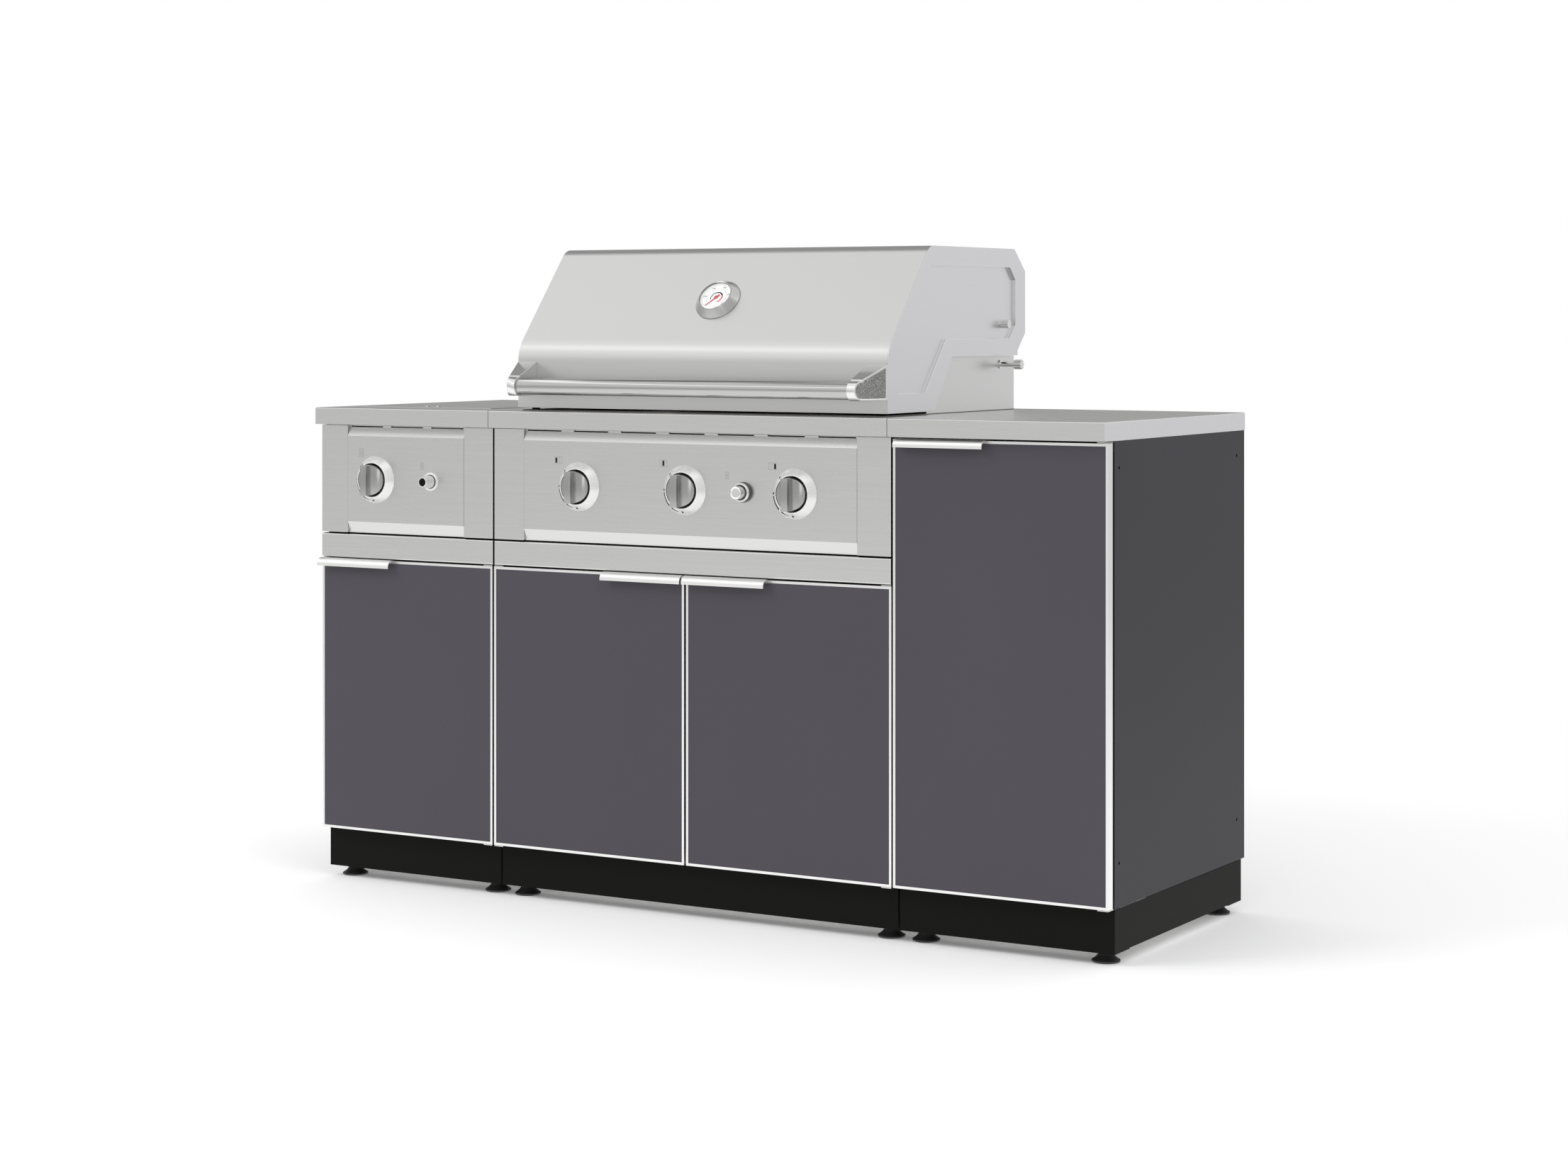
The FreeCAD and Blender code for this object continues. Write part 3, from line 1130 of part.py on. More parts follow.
# Thermometer, drawn flat and then set on the slope
def gauge_place():
    slope = unit((HOOD_FRONT, HOOD_KNEE), (HOOD_CROWN_Y, HOOD_TOP))
    spot = V(HOOD_MIDDLE, HOOD_FRONT + slope[0] * DIAL_UP_SLOPE,
             COUNTER_TOP + HOOD_KNEE + slope[1] * DIAL_UP_SLOPE)
    up, out = V(0, slope[0], slope[1]), V(0, -slope[1], slope[0])
    return FreeCAD.Placement(spot, FreeCAD.Rotation(V(1, 0, 0), up, out, "ZXY"))


def on_slope(shape):
    shape.Placement = gauge_place()
    return [shape]


def thermometer_case():
    """Conical bezel with a floor, and the probe that reaches through the hood."""
    floor, probe_r, probe = 2.0, 3.0, 40.0
    profile = [
        (0, -probe), (probe_r, -probe), (probe_r, 0), (GAUGE_R, 0), (GAUGE_R, 2.0),
        (GAUGE_MOUTH_R, GAUGE_HEIGHT),
        (GAUGE_BORE_R, GAUGE_HEIGHT), (GAUGE_BORE_R, floor), (0, floor),
    ]
    return on_slope(turned(profile, (0, 0, 0), (0, 0, 1), (1, 0, 0)))


def thermometer_dial():
    """Dial plate with the pin that carries the needle."""
    top = GAUGE_HEIGHT - DIAL_SINK
    pin_top = GAUGE_HEIGHT - GLASS_THICK - 1.0
    profile = [(0, 2.0), (GAUGE_BORE_R, 2.0), (GAUGE_BORE_R, top), (NEEDLE_PIN_R, top),
               (NEEDLE_PIN_R, pin_top),
               (0, pin_top)]
    return on_slope(turned(profile, (0, 0, 0), (0, 0, 1), (1, 0, 0)))


def thermometer_needle():
    """Flat pointer with a hub bored for the dial's pin."""
    z0 = GAUGE_HEIGHT - DIAL_SINK + SEAT_GAP
    hub = Part.makeCylinder(3.5, 1.6, V(0, 0, z0))
    pointer = prism([(-2.0, -NEEDLE_TAIL), (2.0, -NEEDLE_TAIL), (0.5, NEEDLE_LENGTH), (-0.5, NEEDLE_LENGTH)],
                    "z", z0, z0 + 0.8)
    pointer.rotate(V(0, 0, 0), V(0, 0, 1), 140)
    needle = fused([hub, pointer]).cut(Part.makeCylinder(NEEDLE_PIN_R + RUNNING_FIT, 4, V(0, 0, z0 - 1)))
    return on_slope(needle)


def thermometer_glass():
    return on_slope(Part.makeCylinder(GAUGE_BORE_R, GLASS_THICK, V(0, 0, GAUGE_HEIGHT - GLASS_THICK)))


# Side burner
def bowl_span():
    """Inside of the bowl's walls: the lid's outline and its running gaps."""
    return (SIDE_LID_X[0] - SIDE_LID_GAP, SIDE_LID_X[1] + SIDE_LID_GAP,
            SIDE_LID_Y[0] - SIDE_LID_GAP, SIDE_LID_Y[1] + SIDE_LID_BACK_GAP)


def side_lid_top():
    return COUNTER_TOP + SIDE_LID_RISE


def side_burner_bowl():
    """Tub that hangs in the counter by its rim, with rests for the lid in its corners."""
    x0, x1, y0, y1 = bowl_span()
    floor = COUNTER_TOP - BOWL_DEPTH
    tub = box(x0 - SHEET, x1 + SHEET, y0 - SHEET, y1 + SHEET, floor, COUNTER_TOP + SIDE_RIM_THICK)
    rim = box(x0 - SIDE_RIM, x1 + SIDE_RIM, y0 - SIDE_RIM, y1 + SIDE_RIM,
              COUNTER_TOP, COUNTER_TOP + SIDE_RIM_THICK)
    hollow = box(x0, x1, y0, y1, floor + SHEET, COUNTER_TOP + 10)
    bowl = fused([tub, rim]).cut(hollow)
    rest_top = side_lid_top() - SIDE_LID_SKIRT - SEAT_GAP
    rests = [box(x, x + REST_SIZE, y, y + REST_SIZE, rest_top - SHEET, rest_top)
             for x in (x0, x1 - REST_SIZE) for y in (y0, y1 - REST_BACK_GAP - REST_SIZE)]
    pivot_y, pivot_z = side_pivot()
    bores = [rod((x, pivot_y, pivot_z), (1, 0, 0), SIDE_PIVOT_R + RUNNING_FIT, 3 * SHEET)
             for x in (x0 - 2 * SHEET, x1 - SHEET)]
    centre_x, centre_y = burner_centre()
    bores.append(rod((centre_x, centre_y, floor - 1), (0, 0, 1), MIXER_R, 2 * SHEET + 2))
    return [fused([bowl] + rests).cut(Part.makeCompound(bores))]


def side_pivot():
    return SIDE_LID_Y[1] - SIDE_PIVOT_IN, side_lid_top() - SIDE_PIVOT_IN


def burner_centre():
    return (SIDE_LID_X[0] + SIDE_LID_X[1]) / 2, (SIDE_LID_Y[0] + SIDE_LID_Y[1]) / 2


def side_burner_lid():
    """Shallow lid level with the counter, with two lifting studs and a pivot pin at each back corner."""
    x0, x1 = SIDE_LID_X
    y0, y1 = SIDE_LID_Y
    top = side_lid_top()
    lid = box(x0, x1, y0, y1, top - SIDE_LID_SKIRT, top).cut(
        box(x0 + SHEET, x1 - SHEET, y0 + SHEET, y1 - SHEET, top - SIDE_LID_SKIRT, top - SHEET))
    studs = [rod((x, STUD_Y, top), (0, 0, 1), STUD_R, STUD_HEIGHT) for x in STUD_X]
    pivot_y, pivot_z = side_pivot()
    reach = SIDE_LID_GAP + 2 * SHEET
    pins = [rod((x0, pivot_y, pivot_z), (-1, 0, 0), SIDE_PIVOT_R, reach),
            rod((x1, pivot_y, pivot_z), (1, 0, 0), SIDE_PIVOT_R, reach)]
    ears = [box(x, x + 4, pivot_y - 5, pivot_y + 5, pivot_z - 4, top - SHEET) for x in (x0, x1 - 4)]
    return [fused([lid] + studs + pins + ears)]


def side_burner_head():
    """Burner ring with its cap, and the mixing tube that runs under the bowl to the valve's nozzle."""
    x, y = burner_centre()
    floor = COUNTER_TOP - BOWL_DEPTH + SHEET
    ring = RING_HEIGHT - CAP_HEIGHT
    profile = [
        (0, -MIXER_DROP), (MIXER_R - MIXER_FIT, -MIXER_DROP), (MIXER_R - MIXER_FIT, 0), (RING_R * 0.6, 0),
        (RING_R * 0.6, RING_FOOT),
        (RING_R, ring - 12), (RING_R, ring), (RING_R * 0.86, ring), (RING_R * 0.86, ring + CAP_HEIGHT - 3),
        (RING_R * 0.7, ring + CAP_HEIGHT), (0, ring + CAP_HEIGHT),
    ]
    head = turned(profile, (x, y, floor), (0, 0, 1), (1, 0, 0))
    start = V(LEFT_KNOB_X, MANIFOLD_Y + MANIFOLD_R + NOZZLE_LENGTH + NOZZLE_AIR_GAP, CONTROL_Z)
    end = V(x, y, floor - 22)
    tube = Part.makeCylinder(MIXER_R - 2, (end - start).Length, start, end - start)
    return [fused([head, tube])]


def side_burner_grate():
    """Pot stand: a square plate with a round hole and four corner windows, on four legs."""
    x, y = burner_centre()
    half = POT_GRATE / 2
    top = COUNTER_TOP - POT_GRATE_DROP
    z0 = top - POT_GRATE_THICK
    plate = prism(rectangle(x - half, x + half, y - half, y + half, 12), "z", z0, top)
    cuts = [Part.makeCylinder(RING_R * 0.7, 20, V(x, y, z0 - 5))]
    near, far = 8.0, half - 12.0
    for sx in (-1, 1):
        for sy in (-1, 1):
            u0, u1 = sorted((x + sx * near, x + sx * far))
            v0, v1 = sorted((y + sy * near, y + sy * far))
            cuts.append(box(u0, u1, v0, v1, z0 - 5, top + 5).cut(
                Part.makeCylinder(RING_R * 0.7 + POT_HOLE_CLEAR, 30, V(x, y, z0 - 10))))
    spots = [(x + sx * (half - 10), y + sy * (half - 10)) for sx in (-1, 1) for sy in (-1, 1)]
    legs = [box(u - 4, u + 4, v - 4, v + 4, COUNTER_TOP - BOWL_DEPTH + SHEET, z0) for u, v in spots]
    return [fused([plate.cut(Part.makeCompound(cuts))] + legs)]


# Build and write every piece
save("cabinet_sides", cabinet_sides())
save("cabinet_floors", [cabinet_floor(m) for m in (LEFT, MIDDLE, RIGHT)])
save("cabinet_backs", [cabinet_back(m) for m in (LEFT, MIDDLE, RIGHT)])
save("plinth_boards", plinth_boards())
save("levelling_feet", levelling_feet())
save("cross_rails", cross_rails())
save("fascia_stiles", fascia_stiles())
save("module_bolts", module_bolts())
save("control_plates", [
    control_plate(PLATE_LEFT_SPAN, LEFT_VENTS, [LEFT_KNOB_X], LEFT_IGNITER_X),
    control_plate(PLATE_MIDDLE_SPAN, MIDDLE_VENTS, MAIN_KNOBS, MAIN_IGNITER_X),
])

bx0, bx1, by0, by1 = bowl_span()
left_hole = (bx0 - SHEET - SEAT_GAP, bx1 + SHEET + SEAT_GAP, by0 - SHEET - SEAT_GAP, by1 + SHEET + SEAT_GAP)
grill_hole = (BODY_LEFT + CUTOUT_LIP, BODY_RIGHT - CUTOUT_LIP,
              FIREBOX_FLANGE_FRONT + CUTOUT_LIP, HOOD_SKIRT_BACK - CUTOUT_LIP)
save("countertop_left", [countertop(LEFT[0], LEFT[1] - COUNTER_SEAM, left_hole)])
save("countertop_middle", [countertop(MIDDLE[0] + COUNTER_SEAM, MIDDLE[1] - COUNTER_SEAM, grill_hole)])
save("countertop_right", [countertop(RIGHT[0] + COUNTER_SEAM, RIGHT[1])])
save("cabinet_shelf", cabinet_shelf())

for name, span, top, side, pull in door_list():
    save(name + "_frame", [door_frame(span, top, side)])
    save(name + "_panel", [door_panel(span, top)])
    save(name + "_pull", [door_pull(pull, top)])
save("hinge_brackets", hinge_brackets())
save("door_catches", door_catches())

save("firebox", firebox())
save("grill_surround", grill_surround())
save("burners", burners())
save("flame_tamers", flame_tamers())
save("cooking_grates", cooking_grates())
save("warming_rack", warming_rack())
save("drip_tray", drip_tray())
save("gas_manifold", gas_manifold())
save("control_bezels", control_bezels())

stations = zip(("side", "left", "middle", "right"), [LEFT_KNOB_X] + MAIN_KNOBS)
for place, x in stations:
    save(place + "_valve_stem", [valve_stem(x)])
    save(place + "_knob", [knob(x)])
save("side_igniter_button", [igniter_button(LEFT_IGNITER_X, SIDE_BUTTON_R, SIDE_BUTTON_REACH)])
save("main_igniter_button", [igniter_button(MAIN_IGNITER_X, MAIN_BUTTON_R, MAIN_BUTTON_REACH)])

save("hood_skin", hood_skin())
save("hood_sides", hood_sides())
save("hood_arms", hood_arms())
save("hood_pivot_pins", hood_pivot_pins())
save("hood_handle_bar", hood_handle_bar())
save("hood_handle_brackets", hood_handle_brackets())
save("thermometer_case", thermometer_case())
save("thermometer_dial", thermometer_dial())
save("thermometer_needle", thermometer_needle())
save("thermometer_glass", thermometer_glass())

save("side_burner_bowl", side_burner_bowl())
save("side_burner_head", side_burner_head())
save("side_burner_grate", side_burner_grate())
save("side_burner_lid", side_burner_lid())
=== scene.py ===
import bpy
import math
from mathutils import Matrix, Vector


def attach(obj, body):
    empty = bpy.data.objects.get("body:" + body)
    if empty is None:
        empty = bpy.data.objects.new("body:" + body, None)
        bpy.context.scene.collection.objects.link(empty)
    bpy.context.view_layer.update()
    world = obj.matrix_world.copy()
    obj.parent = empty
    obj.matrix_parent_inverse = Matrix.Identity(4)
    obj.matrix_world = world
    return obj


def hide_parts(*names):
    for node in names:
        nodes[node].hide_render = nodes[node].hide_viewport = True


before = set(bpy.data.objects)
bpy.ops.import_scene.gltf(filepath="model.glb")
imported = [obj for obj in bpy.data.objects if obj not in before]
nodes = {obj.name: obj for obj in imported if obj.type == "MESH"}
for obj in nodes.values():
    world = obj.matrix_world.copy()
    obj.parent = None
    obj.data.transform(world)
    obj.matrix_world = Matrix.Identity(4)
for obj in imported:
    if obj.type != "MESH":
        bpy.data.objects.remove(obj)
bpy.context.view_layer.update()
bpy.ops.object.select_all(action="DESELECT")


# Camera: the viewpoint of the photograph, a little above counter height, in front of the island
# and to its right. It was fitted to the straight edges of the cabinets.
camera_data = bpy.data.cameras.new("camera")
camera_data.lens = 70.12
camera_data.sensor_width = 36.0
camera_data.sensor_fit = "HORIZONTAL"
camera_data.shift_y = -0.1731
camera = bpy.data.objects.new("camera", camera_data)
camera.location = (2.9145, -4.87425, 1.0755)
camera.rotation_euler = (math.radians(90), 0, math.radians(30.505))
bpy.context.scene.collection.objects.link(camera)
bpy.context.scene.camera = camera
bpy.context.scene.view_settings.view_transform = "Standard"


# Studio: a white room. Its even light comes from the world; for mirror-like metal the room also
# has a few brighter and darker patches, as the lamps and flags of a studio have.
world = bpy.data.worlds.new("studio")
bpy.context.scene.world = world
world.use_nodes = True
sky, sky_links = world.node_tree.nodes, world.node_tree.links
sky_light = sky["Background"]
sky_way = sky.new("ShaderNodeTexCoord")
sky_path = sky.new("ShaderNodeLightPath")


def blend(level, factor, other):
    """Level of the room, changed towards another level by a factor."""
    mixed = sky.new("ShaderNodeMix")
    mixed.inputs["B"].default_value = other
    sky_links.new(factor, mixed.inputs["Factor"])
    sky_links.new(level, mixed.inputs["A"])
    return mixed.outputs["Result"]


def patch(level, direction, inner, outer, patch_level):
    """Round patch of the room: full within the inner angle from a direction, none beyond the outer."""
    near = sky.new("ShaderNodeVectorMath")
    near.operation = "DOT_PRODUCT"
    near.inputs[1].default_value = Vector(direction).normalized()
    sky_links.new(sky_way.outputs["Generated"], near.inputs[0])
    fade = sky.new("ShaderNodeMapRange")
    fade.interpolation_type = "SMOOTHSTEP"
    fade.inputs["From Min"].default_value = math.cos(math.radians(outer))
    fade.inputs["From Max"].default_value = math.cos(math.radians(inner))
    sky_links.new(near.outputs["Value"], fade.inputs["Value"])
    return blend(level, fade.outputs["Result"], patch_level)


def height_band(level, low, full_low, full_high, high, band_level):
    """Band round the room between two heights, given as sines of the elevation."""
    both = sky.new("ShaderNodeMath")
    both.operation = "MULTIPLY"
    for i, (start, end) in enumerate(((low, full_low), (high, full_high))):
        fade = sky.new("ShaderNodeMapRange")
        fade.interpolation_type = "SMOOTHSTEP"
        fade.inputs["From Min"].default_value = start
        fade.inputs["From Max"].default_value = end
        sky_links.new(sky_height.outputs["Z"], fade.inputs["Value"])
        sky_links.new(fade.outputs["Result"], both.inputs[i])
    return blend(level, both.outputs["Value"], band_level)


sky_height = sky.new("ShaderNodeSeparateXYZ")
sky_links.new(sky_way.outputs["Generated"], sky_height.inputs["Vector"])
even = sky.new("ShaderNodeValue")
even.outputs[0].default_value = 1.27
glossy_level = even.outputs[0]
for low, full_low, full_high, high, band_level in (
        (-0.30, -0.12, 0.10, 0.26, 0.88), (0.52, 0.58, 0.62, 0.69, 2.15), (0.90, 0.97, 1.1, 1.2, 0.7)):
    glossy_level = height_band(glossy_level, low, full_low, full_high, high, band_level)
for direction, inner, outer, patch_level in (
        ((0.90, -0.43, 0.0), 12, 28, 0.85), ((0.72, -0.37, 0.58), 10, 26, 0.85),
        ((0.35, -0.93, 0.0), 6, 15, 2.2), ((-0.51, 0.34, 0.79), 8, 20, 0.3),
        ((-0.51, 0.60, 0.60), 12, 26, 0.4), ((-0.51, 0.86, 0.04), 22, 44, 0.42),
        ((0.51, 0.86, 0.0), 10, 24, 1.0), ((0.37, -0.26, 0.90), 10, 24, 1.5)):
    glossy_level = patch(glossy_level, direction, inner, outer, patch_level)
seen = blend(glossy_level, sky_path.outputs["Is Camera Ray"], 1.0)
seen = blend(seen, sky_path.outputs["Is Transmission Ray"], 1.0)
lit = blend(seen, sky_path.outputs["Is Diffuse Ray"], 0.84)
sky_light.inputs["Color"].default_value = (1, 1, 1, 1)
sky_links.new(lit, sky_light.inputs["Strength"])

lamp_target = Vector((0, 0, 0.6))
for name, place, size, watts in (("key", (-3.2, -4.2, 4.2), 2.6, 105), ("fill", (3.8, -2.2, 3.4), 2.4, 34)):
    lamp_data = bpy.data.lights.new(name, "AREA")
    lamp_data.shape = "SQUARE"
    lamp_data.size = size
    lamp_data.energy = watts
    lamp = bpy.data.objects.new(name, lamp_data)
    lamp.location = place
    lamp.rotation_euler = (lamp_target - Vector(place)).to_track_quat("-Z", "Y").to_euler()
    lamp.visible_camera = False
    lamp.visible_glossy = False
    bpy.context.scene.collection.objects.link(lamp)


# Floor: a plain white studio floor. It takes the island's shadow, and further out it turns into
# the same even white as the room, so that no edge or horizon shows.
def material(name, colour, roughness, metallic=0.0):
    """Material with these shader settings; returns it with its nodes, links and shader."""
    made = bpy.data.materials.new(name)
    made.use_nodes = True
    shader = made.node_tree.nodes["Principled BSDF"]
    shader.inputs["Base Color"].default_value = (*colour, 1)
    shader.inputs["Roughness"].default_value = roughness
    shader.inputs["Metallic"].default_value = metallic
    return made, made.node_tree.nodes, made.node_tree.links, shader


bpy.ops.mesh.primitive_plane_add(size=60, location=(0, 0, 0))
floor = bpy.context.active_object
floor.name = "floor"
white, n, links, shader = material("floor_white", (0.96, 0.96, 0.96), 0.9)
shader.inputs["Specular IOR Level"].default_value = 0.0
place = n.new("ShaderNodeTexCoord")
reach = n.new("ShaderNodeVectorMath")
reach.operation = "LENGTH"
links.new(place.outputs["Object"], reach.inputs[0])
fade = n.new("ShaderNodeMapRange")
fade.interpolation_type = "SMOOTHSTEP"
fade.inputs["From Min"].default_value = 1.3
fade.inputs["From Max"].default_value = 3.0
links.new(reach.outputs["Value"], fade.inputs["Value"])
path = n.new("ShaderNodeLightPath")
lift = n.new("ShaderNodeEmission")
lift.inputs["Color"].default_value = (1, 1, 1, 1)
lift.inputs["Strength"].default_value = 0.13
lifted = n.new("ShaderNodeAddShader")
links.new(shader.outputs["BSDF"], lifted.inputs[0])
links.new(lift.outputs["Emission"], lifted.inputs[1])
even_white = n.new("ShaderNodeEmission")
even_white.inputs["Color"].default_value = (1, 1, 1, 1)
near_and_far = n.new("ShaderNodeMixShader")
links.new(fade.outputs["Result"], near_and_far.inputs["Fac"])
links.new(lifted.outputs["Shader"], near_and_far.inputs[1])
links.new(even_white.outputs["Emission"], near_and_far.inputs[2])
# Painted light: in reflections the floor glows, brighter than white near the island and dimmer further out.
level = n.new("ShaderNodeMapRange")
level.interpolation_type = "SMOOTHSTEP"
level.inputs["From Min"].default_value = 1.6
level.inputs["From Max"].default_value = 6.5
level.inputs["To Min"].default_value = 1.5
level.inputs["To Max"].default_value = 0.85
links.new(reach.outputs["Value"], level.inputs["Value"])
mirror_glow = n.new("ShaderNodeEmission")
mirror_glow.inputs["Color"].default_value = (1, 1, 1, 1)
links.new(level.outputs["Result"], mirror_glow.inputs["Strength"])
in_mirror = n.new("ShaderNodeMixShader")
links.new(path.outputs["Is Glossy Ray"], in_mirror.inputs["Fac"])
links.new(near_and_far.outputs["Shader"], in_mirror.inputs[1])
links.new(mirror_glow.outputs["Emission"], in_mirror.inputs[2])
scattered = n.new("ShaderNodeMixShader")
links.new(path.outputs["Is Diffuse Ray"], scattered.inputs["Fac"])
links.new(in_mirror.outputs["Shader"], scattered.inputs[1])
links.new(shader.outputs["BSDF"], scattered.inputs[2])
links.new(scattered.outputs["Shader"], n["Material Output"].inputs["Surface"])
floor.data.materials.append(white)


# Cabinet walls: folded sheet, powder coated in slate grey on the outside, with bolt holes at the
# corners; their cut edges are eased a little. The backs are coated too. The floors and the shelf
# are bare steel. All but the walls keep their drawn shapes.
def coat(name, colour, roughness, grain, depth, metallic=0.0, gloss=0.5):
    """Coated or moulded surface: fine relief, and a roughness that varies a little."""
    made, n, links, shader = material(name, colour, roughness, metallic)
    shader.inputs["Specular IOR Level"].default_value = gloss
    place = n.new("ShaderNodeTexCoord")
    fine = n.new("ShaderNodeTexNoise")
    fine.inputs["Scale"].default_value = grain
    fine.inputs["Detail"].default_value = 3.0
    links.new(place.outputs["Object"], fine.inputs["Vector"])
    spread = n.new("ShaderNodeMapRange")
    spread.inputs["To Min"].default_value = roughness - 0.06
    spread.inputs["To Max"].default_value = roughness + 0.06
    links.new(fine.outputs["Fac"], spread.inputs["Value"])
    links.new(spread.outputs["Result"], shader.inputs["Roughness"])
    wide = n.new("ShaderNodeTexNoise")
    wide.inputs["Scale"].default_value = 3.0
    links.new(place.outputs["Object"], wide.inputs["Vector"])
    tint = n.new("ShaderNodeMix")
    tint.data_type = "RGBA"
    tint.inputs["A"].default_value = (*[c * 0.95 for c in colour], 1)
    tint.inputs["B"].default_value = (*[min(c * 1.05, 1) for c in colour], 1)
    links.new(wide.outputs["Fac"], tint.inputs["Factor"])
    links.new(tint.outputs["Result"], shader.inputs["Base Color"])
    bump = n.new("ShaderNodeBump")
    bump.inputs["Strength"].default_value = 0.35
    bump.inputs["Distance"].default_value = depth
    links.new(fine.outputs["Fac"], bump.inputs["Height"])
    links.new(bump.outputs["Normal"], shader.inputs["Normal"])
    return made


def brushed(name, colour, roughness, along, contrast=0.014, depth=0.000003, metallic=1.0):
    """Brushed metal: fine streaks along one axis of the piece, in colour, roughness and relief."""
    made, n, links, shader = material(name, colour, roughness, metallic)
    place = n.new("ShaderNodeTexCoord")
    levels = []
    for long, across in ((14.0, 1500.0), (5.0, 420.0)):
        grain = n.new("ShaderNodeTexNoise")
        grain.inputs["Scale"].default_value = 1.0
        grain.inputs["Detail"].default_value = 3.0
        stretch = n.new("ShaderNodeMapping")
        stretch.inputs["Scale"].default_value = [long if axis == along else across for axis in "xyz"]
        links.new(place.outputs["Object"], stretch.inputs["Vector"])
        links.new(stretch.outputs["Vector"], grain.inputs["Vector"])
        level = n.new("ShaderNodeMapRange")
        level.inputs["From Min"].default_value = 0.3
        level.inputs["From Max"].default_value = 0.7
        links.new(grain.outputs["Fac"], level.inputs["Value"])
        levels.append(level.outputs["Result"])
    both = n.new("ShaderNodeMix")
    both.inputs["Factor"].default_value = 0.35
    links.new(levels[0], both.inputs["A"])
    links.new(levels[1], both.inputs["B"])
    tint = n.new("ShaderNodeMix")
    tint.data_type = "RGBA"
    tint.inputs["A"].default_value = (*[c * (1 - contrast) for c in colour], 1)
    tint.inputs["B"].default_value = (*[min(c * (1 + contrast), 1) for c in colour], 1)
    links.new(both.outputs["Result"], tint.inputs["Factor"])
    links.new(tint.outputs["Result"], shader.inputs["Base Color"])
    spread = n.new("ShaderNodeMapRange")
    spread.inputs["To Min"].default_value = roughness - 0.03
    spread.inputs["To Max"].default_value = roughness + 0.03
    links.new(both.outputs["Result"], spread.inputs["Value"])
    links.new(spread.outputs["Result"], shader.inputs["Roughness"])
    bump = n.new("ShaderNodeBump")
    bump.inputs["Strength"].default_value = 0.25
    bump.inputs["Distance"].default_value = depth
    links.new(levels[0], bump.inputs["Height"])
    links.new(bump.outputs["Normal"], shader.inputs["Normal"])
    return made


def dress(finish, *names):
    """Give CAD nodes that keep their drawn shape a material."""
    for name in names:
        nodes[name].data.materials.clear()
        nodes[name].data.materials.append(finish)


def pick(*pieces):
    """Select these objects alone; the last one becomes the active object."""
    bpy.ops.object.select_all(action="DESELECT")
    for piece in pieces:
        piece.select_set(True)
    bpy.context.view_layer.objects.active = pieces[-1]


def finished(piece, finish, body, slot, *replaced):
    """Give a new piece its material and its body, and hide the CAD nodes it stands for. The record slot is not
    used.
    """
    piece.data.materials.clear()
    piece.data.materials.append(finish)
    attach(piece, body)
    if replaced:
        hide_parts(*replaced)
    return piece


def flat_faces(piece, angle=32):
    """Shade smooth across small angles, with large flat faces kept flat right up to their edges.

    A corner whose normal is still turned away from its face gets the face's own.
    """
    pick(piece)
    bpy.ops.object.shade_smooth_by_angle(angle=math.radians(angle))
    weighted = piece.modifiers.new("flat", "WEIGHTED_NORMAL")
    weighted.weight = 80
    weighted.keep_sharp = True
    bpy.ops.object.modifier_apply(modifier="flat")
    mesh = piece.data
    normals = [corner.vector.copy() for corner in mesh.corner_normals]
    for face in mesh.polygons:
        for corner in face.loop_indices:
            if normals[corner].dot(face.normal) < 0.7:
                normals[corner] = face.normal.copy()
    mesh.normals_split_custom_set(normals)


def softened(node, body, slot, finish, width=0, angle=32, clamp=True, join=True):
    """Copy of a CAD node with its flat faces joined up and its edges eased by a bevel in mm."""
    piece = nodes[node].copy()
    piece.data = nodes[node].data.copy()
    piece.name = node + "_finished"
    bpy.context.scene.collection.objects.link(piece)
    pick(piece)
    bpy.ops.object.mode_set(mode="EDIT")
    bpy.ops.mesh.select_all(action="SELECT")
    bpy.ops.mesh.remove_doubles(threshold=0.00001)
    if join:
        bpy.ops.mesh.dissolve_limited(angle_limit=math.radians(0.5))
    bpy.ops.object.mode_set(mode="OBJECT")
    if width:
        bevel = piece.modifiers.new("edge", "BEVEL")
        bevel.width = width / 1000
        bevel.segments = 2
        bevel.use_clamp_overlap = clamp
        bevel.limit_method = "ANGLE"
        bevel.angle_limit = math.radians(9)
        bpy.ops.object.modifier_apply(modifier="edge")
    flat_faces(piece, angle)
    return finished(piece, finish, body, slot, node)


sheet_edge = 0.4
slate_coat = coat("slate_powder_coat", (0.039, 0.039, 0.045), 0.5, 900.0, 0.00003, gloss=0.08)
floor_steel = brushed("mill_steel", (0.50, 0.50, 0.49), 0.42, "x")
softened("cabinet_sides", "cabinet", "panel_grey", slate_coat, sheet_edge)
dress(slate_coat, "cabinet_backs")
dress(floor_steel, "cabinet_floors", "cabinet_shelf")
dress(brushed("bolt_steel", (0.50, 0.50, 0.48), 0.35, "x"), "module_bolts")


# Plinths: folded boards in satin black, with a seam between the cabinets. Each cabinet stands on
# four black moulded feet that screw into the boards' lower flange.
plinth_black = coat("plinth_black", (0.0078, 0.0078, 0.0072), 0.55, 700.0, 0.00003, gloss=0.04)
softened("plinth_boards", "cabinet", "plinth_black", plinth_black, 0.5, join=False)


half_length, middle_depth = 825.5, 293.05
smooth_angle = math.radians(35)


def at(x, y, z):
    """Millimetres from the left end, the counter's front edge and the floor, in the row's metres."""
    return Vector(((x - half_length) / 1000, (y - middle_depth) / 1000, z / 1000))


